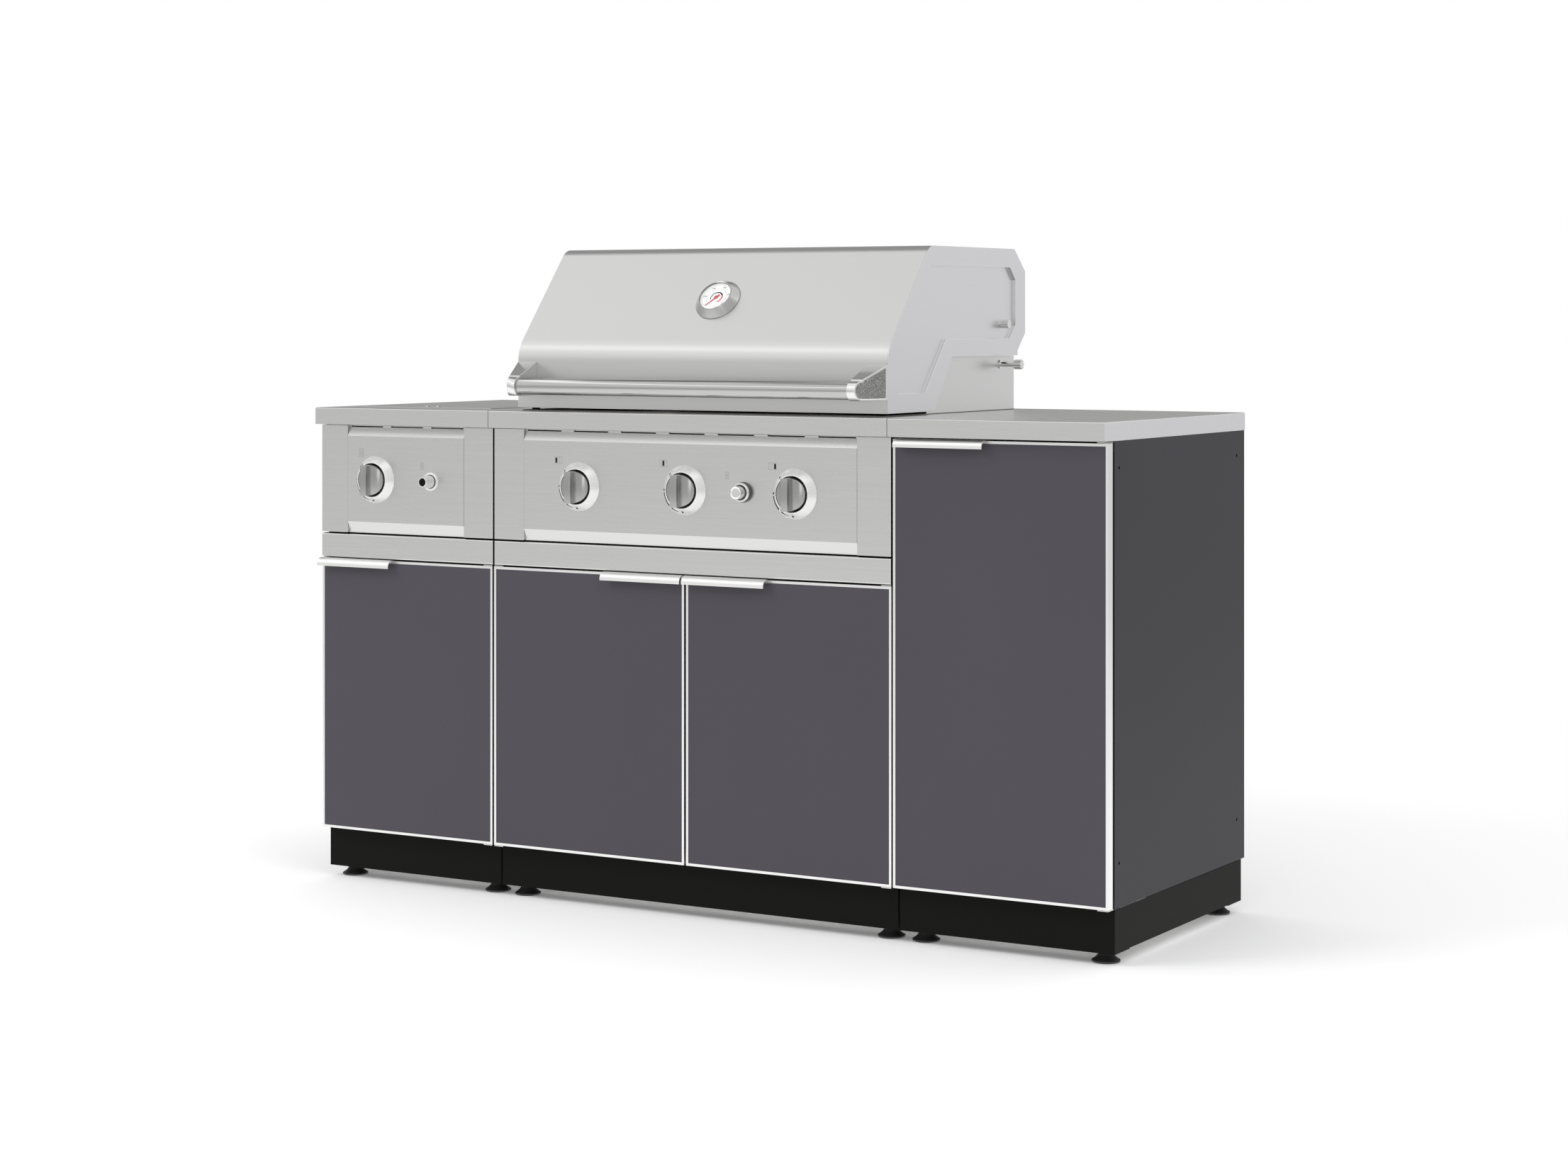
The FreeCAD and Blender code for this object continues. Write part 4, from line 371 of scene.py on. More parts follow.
def turned(name, rings, place, towards, sides=64):
    """Round form drawn out ring by ring, (radius, distance) in mm, along a direction from a place."""
    bpy.ops.object.select_all(action="DESELECT")
    bpy.ops.mesh.primitive_circle_add(vertices=sides, radius=rings[0][0] / 1000, fill_type="NGON",
                                      location=(0, 0, rings[0][1] / 1000))
    piece = bpy.context.active_object
    piece.name = name
    bpy.ops.object.transform_apply(location=True, rotation=True, scale=True)
    bpy.ops.object.mode_set(mode="EDIT")
    bpy.ops.mesh.select_all(action="SELECT")
    for (old_r, old_z), (r, z) in zip(rings, rings[1:]):
        bpy.ops.mesh.extrude_region_move(TRANSFORM_OT_translate={"value": (0, 0, (z - old_z) / 1000)})
        if r != old_r:
            bpy.ops.transform.resize(value=(r / old_r, r / old_r, 1), center_override=(0, 0, z / 1000))
    bpy.ops.mesh.select_all(action="SELECT")
    bpy.ops.mesh.normals_make_consistent(inside=False)
    bpy.ops.object.mode_set(mode="OBJECT")
    turn = Vector((0, 0, 1)).rotation_difference(Vector(towards))
    piece.matrix_world = Matrix.Translation(place) @ turn.to_matrix().to_4x4()
    bpy.ops.object.transform_apply(location=True, rotation=True, scale=True)
    bpy.ops.object.shade_smooth_by_angle(angle=smooth_angle)
    return piece


def joined(name, pieces):
    """Pieces made into one, with this name."""
    pick(*pieces)
    if len(pieces) > 1:
        bpy.ops.object.join()
    piece = bpy.context.active_object
    piece.name = name
    return piece


def copies(piece, shifts):
    """The piece and a copy of it at each shift, with its own mesh."""
    made = [piece]
    for shift in shifts:
        copy = piece.copy()
        copy.data = piece.data.copy()
        copy.data.transform(Matrix.Translation(shift))
        bpy.context.scene.collection.objects.link(copy)
        made.append(copy)
    return made


foot_black = coat("foot_black", (0.012, 0.012, 0.012), 0.6, 500.0, 0.00005)
foot_rows = (80.0, 558.0)
foot_columns = (34.0, 372.4, 440.4, 1210.6, 1278.6, 1617.0)
first_foot, up = at(foot_columns[0], foot_rows[0], 0), (0, 0, 1)
pad_rings = [(22.5, 0), (24.2, 0.8), (24.5, 2.2), (24.3, 3.6), (22.0, 5.0), (17.0, 8.6), (13.6, 13.0),
             (12.2, 17.0), (11.8, 20.2)]
pad = turned("foot", pad_rings, first_foot, up, 48)
stem = turned("foot_stem", [(5.0, 20.0), (5.0, 37.2), (4.2, 38.3)], first_foot, up, 24)
foot = joined("foot", [stem, pad])
shifts = [at(x, y, 0) - first_foot for x in foot_columns for y in foot_rows][1:]
feet = joined("feet", copies(foot, shifts))
finished(feet, foot_black, "cabinet", "foot_black", "levelling_feet")


# Counters: three trays of brushed stainless steel, turned upside down over the cabinets, with
# rounded upper edges. The left one is cut out for the side burner, the middle one for the grill.
counter_steel = brushed("counter_steel", (0.535, 0.535, 0.524), 0.28, "x")
# The end faces get a copy of the steel that is brushed along y, and also painted lighter and bluer than the
# fronts: painted light on the sides.
painted_light_end_steel = brushed("counter_end_painted_lighter", (0.60, 0.60, 0.613), 0.28, "y")
for node in ("countertop_left", "countertop_middle", "countertop_right"):
    counter = softened(node, "cabinet", "stainless_bright", counter_steel)
    counter.data.materials.append(painted_light_end_steel)
    for face in counter.data.polygons:
        face.material_index = int(abs(face.normal.x) > 0.95)


# Counter stiffeners: a strip of sheet behind the folded front edge of each counter, underneath.
# It closes the space above the control plates and shows in their upper bevels. Its pale colour is
# painted light: the bevels reflect it as brightness where the counters' overhang shades them.
def block(name, low, high):
    """Box between two opposite corners."""
    bpy.ops.object.select_all(action="DESELECT")
    bpy.ops.mesh.primitive_cube_add(size=1, location=(low + high) / 2, scale=high - low)
    piece = bpy.context.active_object
    piece.name = name
    bpy.ops.object.transform_apply(location=True, rotation=True, scale=True)
    return piece


def bevelled(piece, width, segments=3, angle=32):
    """Ease the sharp edges of a piece by a bevel in mm."""
    pick(piece)
    bevel = piece.modifiers.new("edge", "BEVEL")
    bevel.width = width / 1000
    bevel.segments = segments
    bevel.limit_method = "ANGLE"
    bevel.angle_limit = math.radians(angle)
    bpy.ops.object.modifier_apply(modifier="edge")
    bpy.ops.object.shade_smooth_by_angle(angle=smooth_angle)
    return piece


# Pale colour painted on as light, for the control plates' upper bevels to reflect.
painted_light_coat = coat("pale_painted_light", (0.86, 0.86, 0.85), 0.5, 500.0, 0.00001)
stiffener_y, stiffener_z, strip_edge = (11.5, 30.0), (870.1, 871.0), 0.25
for number, (x0, x1) in enumerate(((2.0, 404.0), (408.6, 1242.4), (1246.8, 1649.0))):
    flange = block("counter_stiffener_%d" % (number + 1), at(x0, stiffener_y[0], stiffener_z[0]),
                   at(x1, stiffener_y[1], stiffener_z[1]))
    bevelled(flange, strip_edge, 2)
    finished(flange, painted_light_coat, "cabinet", "stainless_bright")


# Counter joints: narrow black strips in the gaps between the three counters, a little below their
# upper faces. Their black is painted shade that darkens the gaps.
gap_shade_black = coat("gap_shade_black", (0.006, 0.006, 0.006), 0.7, 300.0, 0.00001, gloss=0.1)
joint_half, joint_y, joint_z = 0.75, (0.6, 609.0), (870.3, 901.7)
for number, x in enumerate((406.4, 1244.6)):
    strip = block("counter_gap_shade_%d" % (number + 1), at(x - joint_half, joint_y[0], joint_z[0]),
                  at(x + joint_half, joint_y[1], joint_z[1]))
    bevelled(strip, strip_edge, 2)
    finished(strip, gap_shade_black, "cabinet", "foot_black")


# Control fascia: two folded plates with bevelled long edges, between flat upright strips, over a
# folded rail. All are brushed stainless steel, screwed to the carcass from inside.
fascia_steel = brushed("fascia_steel", (0.527, 0.527, 0.518), 0.28, "x")
for node, edge in (("control_plates", 0), ("fascia_stiles", sheet_edge), ("cross_rails", sheet_edge)):
    softened(node, "cabinet", "stainless", fascia_steel, edge, angle=12)


# Burner symbols: printed in black ink beside each knob and igniter: a row of three cells with the
# cell of that burner filled, a two-cell box for the side burner, and a small mark for the spark.
fascia_face = 18.0


def printed(name, bars, thick=0.06):
    """Flat ink bars, (x0, x1, z0, z1) in mm, on the fascia's face."""
    made = [block("bar", at(x0, fascia_face - thick, z0), at(x1, fascia_face, z1)) for x0, x1, z0, z1 in bars]
    return bevelled(joined(name, made), 0.02, 1)


def box_lines(x0, x1, z0, z1, line):
    """The four bars of a drawn box."""
    return [(x0, x1, z0, z0 + line), (x0, x1, z1 - line, z1), (x0, x0 + line, z0 + line, z1 - line),
            (x1 - line, x1, z0 + line, z1 - line)]


ink = coat("printed_ink", (0.004, 0.004, 0.004), 0.6, 600.0, 0.00001, gloss=0.1)
pale_ink = coat("printed_grey_ink", (0.26, 0.26, 0.255), 0.55, 600.0, 0.00001, gloss=0.2)
control_height = 766.0
main_knobs = (598.1, 825.5, 1052.9)
side_knob_x, side_igniter_x, main_igniter_x = 131.5, 263.0, 947.0
row_width, row_height, cell_step, row_line = 15.5, 13.0, 5.1, 0.5
for i, knob_x in enumerate(main_knobs):
    x0, z0 = knob_x - 53.8, control_height + 40.5
    lines = box_lines(x0, x0 + row_width, z0, z0 + row_height, row_line)
    for wall in (x0 + cell_step, x0 + 2 * cell_step):
        lines.append((wall, wall + row_line, z0 + row_line, z0 + row_height - row_line))
    finished(printed("burner_symbol_%d" % (i + 1), lines), pale_ink, "cabinet", "button_black")
    cell_x = x0 + cell_step * i
    cell = [(cell_x + 1.1, cell_x + 4.7, z0 + 1.8, z0 + 11.2)]
    finished(printed("burner_symbol_cell_%d" % (i + 1), cell, 0.08), ink, "cabinet", "button_black")
x0, z0 = side_knob_x - 39.5, control_height + 42.5
lines = box_lines(x0, x0 + 10.5, z0, z0 + 16.5, 0.7)
for low, high in ((3.0, 7.4), (9.2, 13.6)):
    lines += box_lines(x0 + 2.6, x0 + 7.9, z0 + low, z0 + high, 0.6)
finished(printed("side_burner_symbol", lines), pale_ink, "cabinet", "button_black")
for name, igniter_x, beside in (("side", side_igniter_x, 25.5), ("main", main_igniter_x, 36.5)):
    x0, z0 = igniter_x - beside, control_height + 22.0
    lines = box_lines(x0, x0 + 6.6, z0, z0 + 13.0, 0.7)
    lines += [(x0 + 2.9, x0 + 3.6, z0 + 2.8, z0 + 10.2), (x0 + 1.7, x0 + 4.8, z0 + 6.1, z0 + 6.8)]
    finished(printed(name + "_spark_symbol", lines), pale_ink, "cabinet", "button_black")


# Knob bezels: spun rings of bright stainless steel, conical, with the knob's well in the middle.
# The marks round the left and lower side are filled with black.
bright_steel = brushed("bright_steel", (0.66, 0.66, 0.65), 0.2, "x", 0.015, 0.000002)
forward = (0, -1, 0)
bezel_steel = brushed("knob_bezel_satin", (0.69, 0.69, 0.68), 0.27, "x", 0.012, 0.000002, 0.5)
cone_foot, cone_top = (44.1, 2.0), (34.1, 13.2)
bezel_rings = [(44.5, 0), (44.5, 1.4), cone_foot, cone_top, (33.3, 13.9), (32.6, 14.0), (31.9, 13.6),
               (31.6, 12.8), (31.6, 0.8)]
ink_rise = 0.08
knobs = [("side", side_knob_x)] + list(zip(("left", "middle", "right"), main_knobs))
# Painted shade: a near-black disc at the bottom of each well darkens the gap round a knob or an igniter
# button.
painted_gap_shade = coat("painted_gap_shade", (0.006, 0.006, 0.006), 0.8, 300.0, 0.00001)


def swept_mark(name, centre, axis, inner, outer, steps, angle, taper):
    """Flat mark swept round an axis from its first edge, inner to outer, in equal steps.

    The edge's width changes by the taper at each step.
    """
    bpy.ops.object.select_all(action="DESELECT")
    bpy.ops.mesh.primitive_plane_add(size=1)
    mark = bpy.context.active_object
    mark.name = name
    bpy.ops.object.mode_set(mode="EDIT")
    bpy.ops.mesh.select_all(action="SELECT")
    bpy.ops.mesh.delete(type="ONLY_FACE")
    bpy.ops.object.mode_set(mode="OBJECT")
    for point in mark.data.vertices:
        point.co = inner if point.co.x < 0 else outer
    bpy.ops.object.mode_set(mode="EDIT")
    bpy.ops.mesh.select_all(action="SELECT")
    bpy.ops.mesh.remove_doubles(threshold=0.000001)
    for _ in range(steps):
        bpy.ops.mesh.spin(steps=1, angle=math.radians(angle) / steps, center=centre, axis=axis)
        if taper != 1.0:
            bpy.ops.object.mode_set(mode="OBJECT")
            chosen = [point.co for point in mark.data.vertices if point.select]
            bpy.ops.object.mode_set(mode="EDIT")
            middle = sum(chosen, Vector()) / len(chosen)
            bpy.ops.transform.resize(value=(taper, taper, taper), center_override=middle)
    bpy.ops.mesh.select_all(action="SELECT")
    bpy.ops.mesh.normals_make_consistent(inside=False)
    bpy.ops.object.mode_set(mode="OBJECT")
    return mark


def cone_mark(x, start, end, middle, width, steps, taper=1.0):
    """Ink on a bezel's cone between two angles, counter-clockwise from the right, at a radius."""
    turn = math.radians(start)
    ends = []
    for r in (middle - width / 2, middle + width / 2):
        climbed = (cone_foot[0] - r) / (cone_foot[0] - cone_top[0])
        rise = cone_foot[1] + climbed * (cone_top[1] - cone_foot[1]) + ink_rise
        ends.append(at(x + r * math.cos(turn), fascia_face - rise, control_height + r * math.sin(turn)))
    return swept_mark("mark", at(x, fascia_face, control_height), forward, *ends, steps, start - end, taper)


for name, x in knobs:
    seat = at(x, fascia_face, control_height)
    ring = turned(name + "_bezel", bezel_rings, seat, forward, 96)
    finished(ring, bezel_steel, "cabinet", "stainless_bright")
    if name == "side":
        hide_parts("control_bezels")
    # The well's disc is painted shade for the gap round the knob.
    well = turned(name + "_bezel_well", [(31.4, 1.0), (31.4, 1.3), (9.0, 1.35)], seat, forward, 48)
    finished(well, painted_gap_shade, "cabinet", "button_black")
    marks = [cone_mark(x, 131, 135.5, 39.2, 3.6, 2), cone_mark(x, 177, 182.5, 40.0, 7.0, 2),
             cone_mark(x, 186, 224, 40.0, 5.4, 12), cone_mark(x, 233, 257, 39.4, 4.4, 8, 0.80),
             cone_mark(x, 268, 272.5, 39.0, 3.2, 2)]
    finished(joined(name + "_bezel_marks", marks), ink, "cabinet", "button_black")


# Knobs: cast metal, plated in satin silver: a disc whose sides are scooped away to leave an upright
# grip, on a flatted valve stem. The knob turns with the stem and pushes in on it.
knob_plate = brushed("knob_satin_silver", (0.34, 0.34, 0.335), 0.22, "z", 0.02, 0.000002)
stem_steel = brushed("stem_steel", (0.5, 0.5, 0.49), 0.3, "y")


def round_bar(name, radius, length, place, towards, sides):
    """Plain cylinder, as a cutting tool or as the start of a piece."""
    bpy.ops.object.select_all(action="DESELECT")
    turn = Vector((0, 0, 1)).rotation_difference(Vector(towards))
    bpy.ops.mesh.primitive_cylinder_add(vertices=sides, radius=radius / 1000, depth=length / 1000,
                                        location=place + Vector(towards) * length / 2000,
                                        rotation=turn.to_euler())
    piece = bpy.context.active_object
    piece.name = name
    bpy.ops.object.transform_apply(location=True, rotation=True, scale=True)
    return piece


def cut(piece, tools):
    """Cut each tool out of a piece, and remove the tool."""
    for tool in tools:
        pick(piece)
        difference = piece.modifiers.new("cut", "BOOLEAN")
        difference.operation = "DIFFERENCE"
        difference.solver = "EXACT"
        difference.object = tool
        bpy.ops.object.modifier_apply(modifier="cut")
        bpy.data.objects.remove(tool)
    return piece


knob_radius, knob_length, knob_back = 28.9, 33.5, 12.0
scoop_radius, scoop_length, scoop_side, scoop_y = 22.0, 70.0, 29.0, -19.6
bore_radius, bore_length, bore_back = 4.2, 24.5, 13.0
scoop_foot = control_height - scoop_length / 2
for name, x in knobs:
    back = at(x, knob_back, control_height)
    body = round_bar(name + "_knob_cast", knob_radius, knob_length, back, forward, 96)
    scoop_places = [at(x + side * scoop_side, scoop_y, scoop_foot) for side in (-1, 1)]
    scoops = [round_bar("scoop", scoop_radius, scoop_length, place, up, 128) for place in scoop_places]
    bore = round_bar("bore", bore_radius, bore_length, at(x, bore_back, control_height), forward, 32)
    body = bevelled(cut(body, scoops + [bore]), 0.9)
    finished(body, knob_plate, name + "_knob", "knob_silver", name + "_knob")
    dress(stem_steel, name + "_valve_stem")


# Igniters: push buttons in spun collars. The side burner's is a metal barrel with a black tip; the
# grill's is a metal button in a deeper collar, with a dark gap round it.
side_seat = at(side_igniter_x, fascia_face, control_height)
main_seat = at(main_igniter_x, fascia_face, control_height)
side_rings = [(17.5, 0), (17.5, 3.0), (16.9, 4.4), (15.6, 5.0), (13.2, 5.0), (12.5, 4.4), (12.4, 0.4)]
main_rings = [(16.9, 7.4), (16.7, 9.8), (15.9, 11.4), (14.9, 12.0), (13.9, 11.6), (13.4, 10.6), (13.4, 0.4)]
side_collar = turned("side_igniter_collar", side_rings, side_seat, forward)
main_collar = turned("main_igniter_collar", main_rings, main_seat, forward)
# Painted shade: a near-black ring at the foot of the grill igniter's collar, where it meets the fascia.
main_foot_shade = turned("main_igniter_foot_shade", [(18.2, 0), (17.9, 2.0), (17.0, 7.6)], main_seat, forward)
foot_shade_black = coat("igniter_foot_painted_shade", (0.06, 0.06, 0.06), 0.45, 400.0, 0.00001)
finished(main_foot_shade, foot_shade_black, "cabinet", "button_black")
for collar in (side_collar, main_collar):
    finished(collar, bezel_steel, "cabinet", "stainless_bright")
# Each collar's well is a near-black disc: painted shade for the gap round the button.
for name, seat, radius in (("side", side_seat, 12.3), ("main", main_seat, 13.3)):
    well = turned(name + "_igniter_well", [(radius, 0.5), (radius, 0.8), (5.3, 0.85)], seat, forward, 48)
    finished(well, painted_gap_shade, "cabinet", "button_black")
push_rod = [(5.0, -14.0), (7.0, -13.9), (7.0, -12.0), (5.0, -11.9), (5.0, 5.9)]
barrel_rings = [(11.6, 6.0), (11.9, 6.4), (11.7, 13.0), (9.9, 27.0), (9.5, 28.3), (8.9, 28.9),
                (8.3, 29.0), (7.9, 28.6)]
side_button = turned("side_igniter_barrel", push_rod + barrel_rings, side_seat, forward)
finished(side_button, bezel_steel, "side_button", "knob_silver", "side_igniter_button")
tip_rings = [(7.9, 27.6), (7.9, 28.4), (7.5, 28.8), (6.0, 28.95), (0.5, 29.0)]
side_tip = turned("side_igniter_tip", tip_rings, side_seat, forward)
tip_black = coat("tip_black", (0.002, 0.002, 0.002), 0.5, 500.0, 0.00001, gloss=0.1)
finished(side_tip, tip_black, "side_button", "button_black")
cap_rings = [(11.0, 6.0), (11.4, 6.4), (11.4, 25.6), (10.9, 26.8), (9.9, 27.3), (8.8, 26.9),
             (8.0, 26.3), (0.5, 26.1)]
main_button = turned("main_igniter_cap", push_rod + cap_rings, main_seat, forward)
finished(main_button, bright_steel, "main_button", "knob_silver", "main_igniter_button")


# Doors: boards with a satin slate face in a slim frame of pale anodised aluminium. An edge pull, a
# folded strip of the same metal, lies on the top edge and turns down in front of it.
door_slate = coat("door_slate", (0.062, 0.0575, 0.070), 0.42, 1100.0, 0.00002, gloss=0.25)
frame_metal = brushed("anodised_aluminium", (0.66, 0.66, 0.65), 0.34, "z")
pull_metal = brushed("pull_aluminium", (0.72, 0.72, 0.71), 0.34, "x")
for door in ("left_door", "middle_left_door", "middle_right_door", "right_door"):
    softened(door + "_frame", door, "door_frame_aluminium", frame_metal, sheet_edge)
    softened(door + "_panel", door, "door_slate", door_slate, 0.3)
    softened(door + "_pull", door, "door_frame_aluminium", pull_metal, 0.2)
dress(stem_steel, "hinge_brackets")
dress(foot_black, "door_catches")


# Grill body: a welded steel box in the counter, darkened inside by heat, with burners, flame
# tamers, cast grates and a warming rack. Below it are the gas pipe with its valves and the tray.
heat_steel = brushed("heat_dark_steel", (0.13, 0.12, 0.11), 0.45, "x", 0.10)
burner_steel = brushed("burner_steel", (0.42, 0.41, 0.39), 0.38, "y", 0.04)
# Steel for the hood's side sheets, painted lighter and bluer than the fronts: painted light on the sides.
painted_light_side_steel = brushed("painted_light_side_steel", (0.60, 0.60, 0.613), 0.30, "y", 0.016)
cast_iron = coat("cast_iron", (0.022, 0.022, 0.022), 0.6, 350.0, 0.0002)
zinc = coat("zinc_plate", (0.45, 0.45, 0.44), 0.35, 400.0, 0.00002, 1.0)
surround_steel = brushed("surround_steel", (0.575, 0.575, 0.573), 0.30, "y", 0.016)
softened("grill_surround", "cabinet", "stainless", surround_steel, sheet_edge, join=False)
softened("firebox", "cabinet", "stainless", heat_steel, join=False)
softened("cooking_grates", "cabinet", "cast_black", cast_iron, 1.2)
softened("burners", "cabinet", "burner_steel", burner_steel)
softened("flame_tamers", "cabinet", "burner_steel", burner_steel)
softened("warming_rack", "cabinet", "stainless", burner_steel)
softened("drip_tray", "drip_tray", "stainless", burner_steel)
softened("gas_manifold", "cabinet", "pipe_zinc", zinc)


# Hood: a folded skin of brushed stainless steel between two side sheets with a pressed-in panel.
# Arms inside carry it on two pivot pins; knurled screws hold the arms to the sides. Two rubber
# bumpers under its front edge rest on the counter.
hood_steel = brushed("hood_steel", (0.53, 0.53, 0.525), 0.32, "x", 0.012, 0.000002)
softened("hood_skin", "hood", "stainless", hood_steel)
# The side sheets are painted lighter and bluer than the skin: painted light.
softened("hood_sides", "hood", "stainless", painted_light_side_steel, 0.5, clamp=False)


along_x, overshoot = (1, 0, 0), 0.5


def fluted(piece, x0, x1, y, z, radius, flute, count):
    """Cut flutes of a radius round a head that lies along x, with their middles at a distance."""
    tools = []
    for i in range(count):
        turn = 2 * math.pi * (i + 0.5) / count
        spot = at(x0 - overshoot, y + radius * math.cos(turn), z + radius * math.sin(turn))
        tools.append(round_bar("flute", flute, x1 - x0 + 2 * overshoot, spot, along_x, 20))
    return cut(piece, [joined("flutes", tools)])


screw_steel = brushed("screw_steel", (0.62, 0.62, 0.61), 0.2, "x", 0.012, 0.000001)
arms = softened("hood_arms", "hood", "screw_steel", screw_steel)
pins = softened("hood_pivot_pins", "cabinet", "screw_steel", screw_steel)
pivot_y, screw_z, pin_z = 498.6, 1061.9, 987.1
screw_head, pin_head = (-3.0, 11.6), (31.6, 45.6)
for outward, side_x, wall_x in ((-1, 440.0, 448.0), (1, 1220.0, 1212.0)):
    x0, x1 = sorted(side_x + outward * reach for reach in screw_head)
    fluted(arms, x0, x1, pivot_y, screw_z, 8.9, 1.7, 10)
    x0, x1 = sorted(wall_x + outward * reach for reach in pin_head)
    fluted(pins, x0, x1, pivot_y, pin_z, 9.4, 2.5, 8)
for piece in (arms, pins):
    bevelled(piece, 0.35, 2, 30)
    flat_faces(piece)

rubber = coat("bumper_rubber", (0.006, 0.006, 0.006), 0.7, 300.0, 0.00003, gloss=0.1)
bumper_left, bumper_right, bumper_y, bumper_foot = 466.0, 1194.0, 70.0, 902.3
bumper = round_bar("bumper", 7.5, 5.2, at(bumper_left, bumper_y, bumper_foot), up, 32)
shift = at(bumper_right, bumper_y, 0) - at(bumper_left, bumper_y, 0)
bumpers = joined("bumpers", copies(bevelled(bumper, 0.6, 2), [shift]))
finished(bumpers, rubber, "hood", "foot_black")


# Handle: a polished steel tube between two cast ends. Each end has a bright rounded nose, and in
# its flared outer side a sunk field that is left grainy from the casting.
polished = brushed("polished_steel", (0.39, 0.39, 0.385), 0.13, "x", 0.012, 0.0000006)
handle_left, handle_right, handle_y, handle_z = 482.0, 1178.0, -6.0, 948.0
tube_length = handle_right - handle_left
tube_rings = [(15.0, 0), (15.5, 0.8), (15.5, tube_length - 0.8), (15.0, tube_length)]
tube = turned("handle_tube", tube_rings, at(handle_left, handle_y, handle_z), along_x, 96)
finished(tube, polished, "hood", "stainless_bright", "hood_handle_bar")


def choose(piece, test):
    """Go into edit mode with those faces of a piece selected that pass a test."""
    pick(piece)
    bpy.ops.object.mode_set(mode="EDIT")
    bpy.ops.mesh.select_mode(type="FACE")
    bpy.ops.mesh.select_all(action="DESELECT")
    bpy.ops.object.mode_set(mode="OBJECT")
    for face in piece.data.polygons:
        face.select = test(face)
    bpy.ops.object.mode_set(mode="EDIT")


def grainy_cast(name, colour, roughness):
    """Cast metal left rough: coarse grains in colour and relief."""
    made, n, links, shader = material(name, colour, roughness, 1.0)
    place = n.new("ShaderNodeTexCoord")
    grains = n.new("ShaderNodeTexNoise")
    grains.inputs["Scale"].default_value = 620.0
    grains.inputs["Detail"].default_value = 2.0
    links.new(place.outputs["Object"], grains.inputs["Vector"])
    level = n.new("ShaderNodeMapRange")
    level.inputs["From Min"].default_value = 0.36
    level.inputs["From Max"].default_value = 0.64
    links.new(grains.outputs["Fac"], level.inputs["Value"])
    tint = n.new("ShaderNodeMix")
    tint.data_type = "RGBA"
    tint.inputs["A"].default_value = (*[c * 0.45 for c in colour], 1)
    tint.inputs["B"].default_value = (*[min(c * 1.5, 1) for c in colour], 1)
    links.new(level.outputs["Result"], tint.inputs["Factor"])
    links.new(tint.outputs["Result"], shader.inputs["Base Color"])
    bump = n.new("ShaderNodeBump")
    bump.inputs["Strength"].default_value = 0.6
    bump.inputs["Distance"].default_value = 0.0003
    links.new(level.outputs["Result"], bump.inputs["Height"])
    links.new(bump.outputs["Normal"], shader.inputs["Normal"])
    return made


hood_front, hood_right, hood_middle = 48.7, 1220.0, 830.0
nose, root_top, end_length, spare = 17.5, 992.0, 60.0, 4.0
flare, collar = hood_right - 19.5, handle_right
rise, depth = root_top - handle_z, hood_front - handle_y
climb = math.atan2(rise, depth) - math.asin(nose / math.hypot(rise, depth))
end = round_bar("handle_end", nose, end_length, at(collar, handle_y, handle_z), along_x, 96)
wedge = block("handle_wedge", at(collar, handle_y, handle_z - nose),
              at(collar + end_length, hood_front, root_top + spare))
choose(wedge, lambda face: True)
slope = (0, -math.sin(climb), math.cos(climb))
bpy.ops.mesh.bisect(plane_co=at(collar, hood_front, root_top), plane_no=slope, clear_outer=True, use_fill=True)
bpy.ops.object.mode_set(mode="OBJECT")
pick(end)
union = end.modifiers.new("wedge", "BOOLEAN")
union.operation = "UNION"
union.solver = "EXACT"
union.object = wedge
bpy.ops.object.modifier_apply(modifier="wedge")
bpy.data.objects.remove(wedge)
slant = Vector((depth, -(hood_right - flare), 0)).normalized()
choose(end, lambda face: True)
bpy.ops.mesh.bisect(plane_co=at(flare, handle_y, handle_z), plane_no=slant, clear_outer=True, use_fill=True)
bpy.ops.mesh.select_all(action="SELECT")
bpy.ops.mesh.remove_doubles(threshold=0.00001)
bpy.ops.mesh.dissolve_limited(angle_limit=math.radians(0.5))
bpy.ops.object.mode_set(mode="OBJECT")
end_polish = brushed("handle_end_polish", (0.62, 0.62, 0.61), 0.14, "x", 0.012, 0.0000006)
end_grain = grainy_cast("cast_grain", (0.27, 0.27, 0.265), 0.45)
rim, step, sunk = 0.0030, 0.0008, 0.0011
end.data.materials.append(end_polish)
end.data.materials.append(end_grain)
choose(end, lambda face: face.normal.dot(slant) > 0.99)
bpy.ops.mesh.inset(thickness=rim, depth=0)
bpy.ops.mesh.inset(thickness=step, depth=-sunk)
end.active_material_index = 1
bpy.ops.object.material_slot_assign()
bpy.ops.object.mode_set(mode="OBJECT")
bevelled(end, 0.9, 3, 38)
flat_faces(end)
other = end.copy()
other.data = end.data.copy()
bpy.context.scene.collection.objects.link(other)
middle = Vector((at(hood_middle, 0, 0).x, 0, 0))
other.data.transform(Matrix.Translation(middle) @ Matrix.Scale(-1, 4, along_x) @ Matrix.Translation(-middle))
other.data.flip_normals()
for piece in (end, other):
    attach(piece, "hood")
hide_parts("hood_handle_brackets")


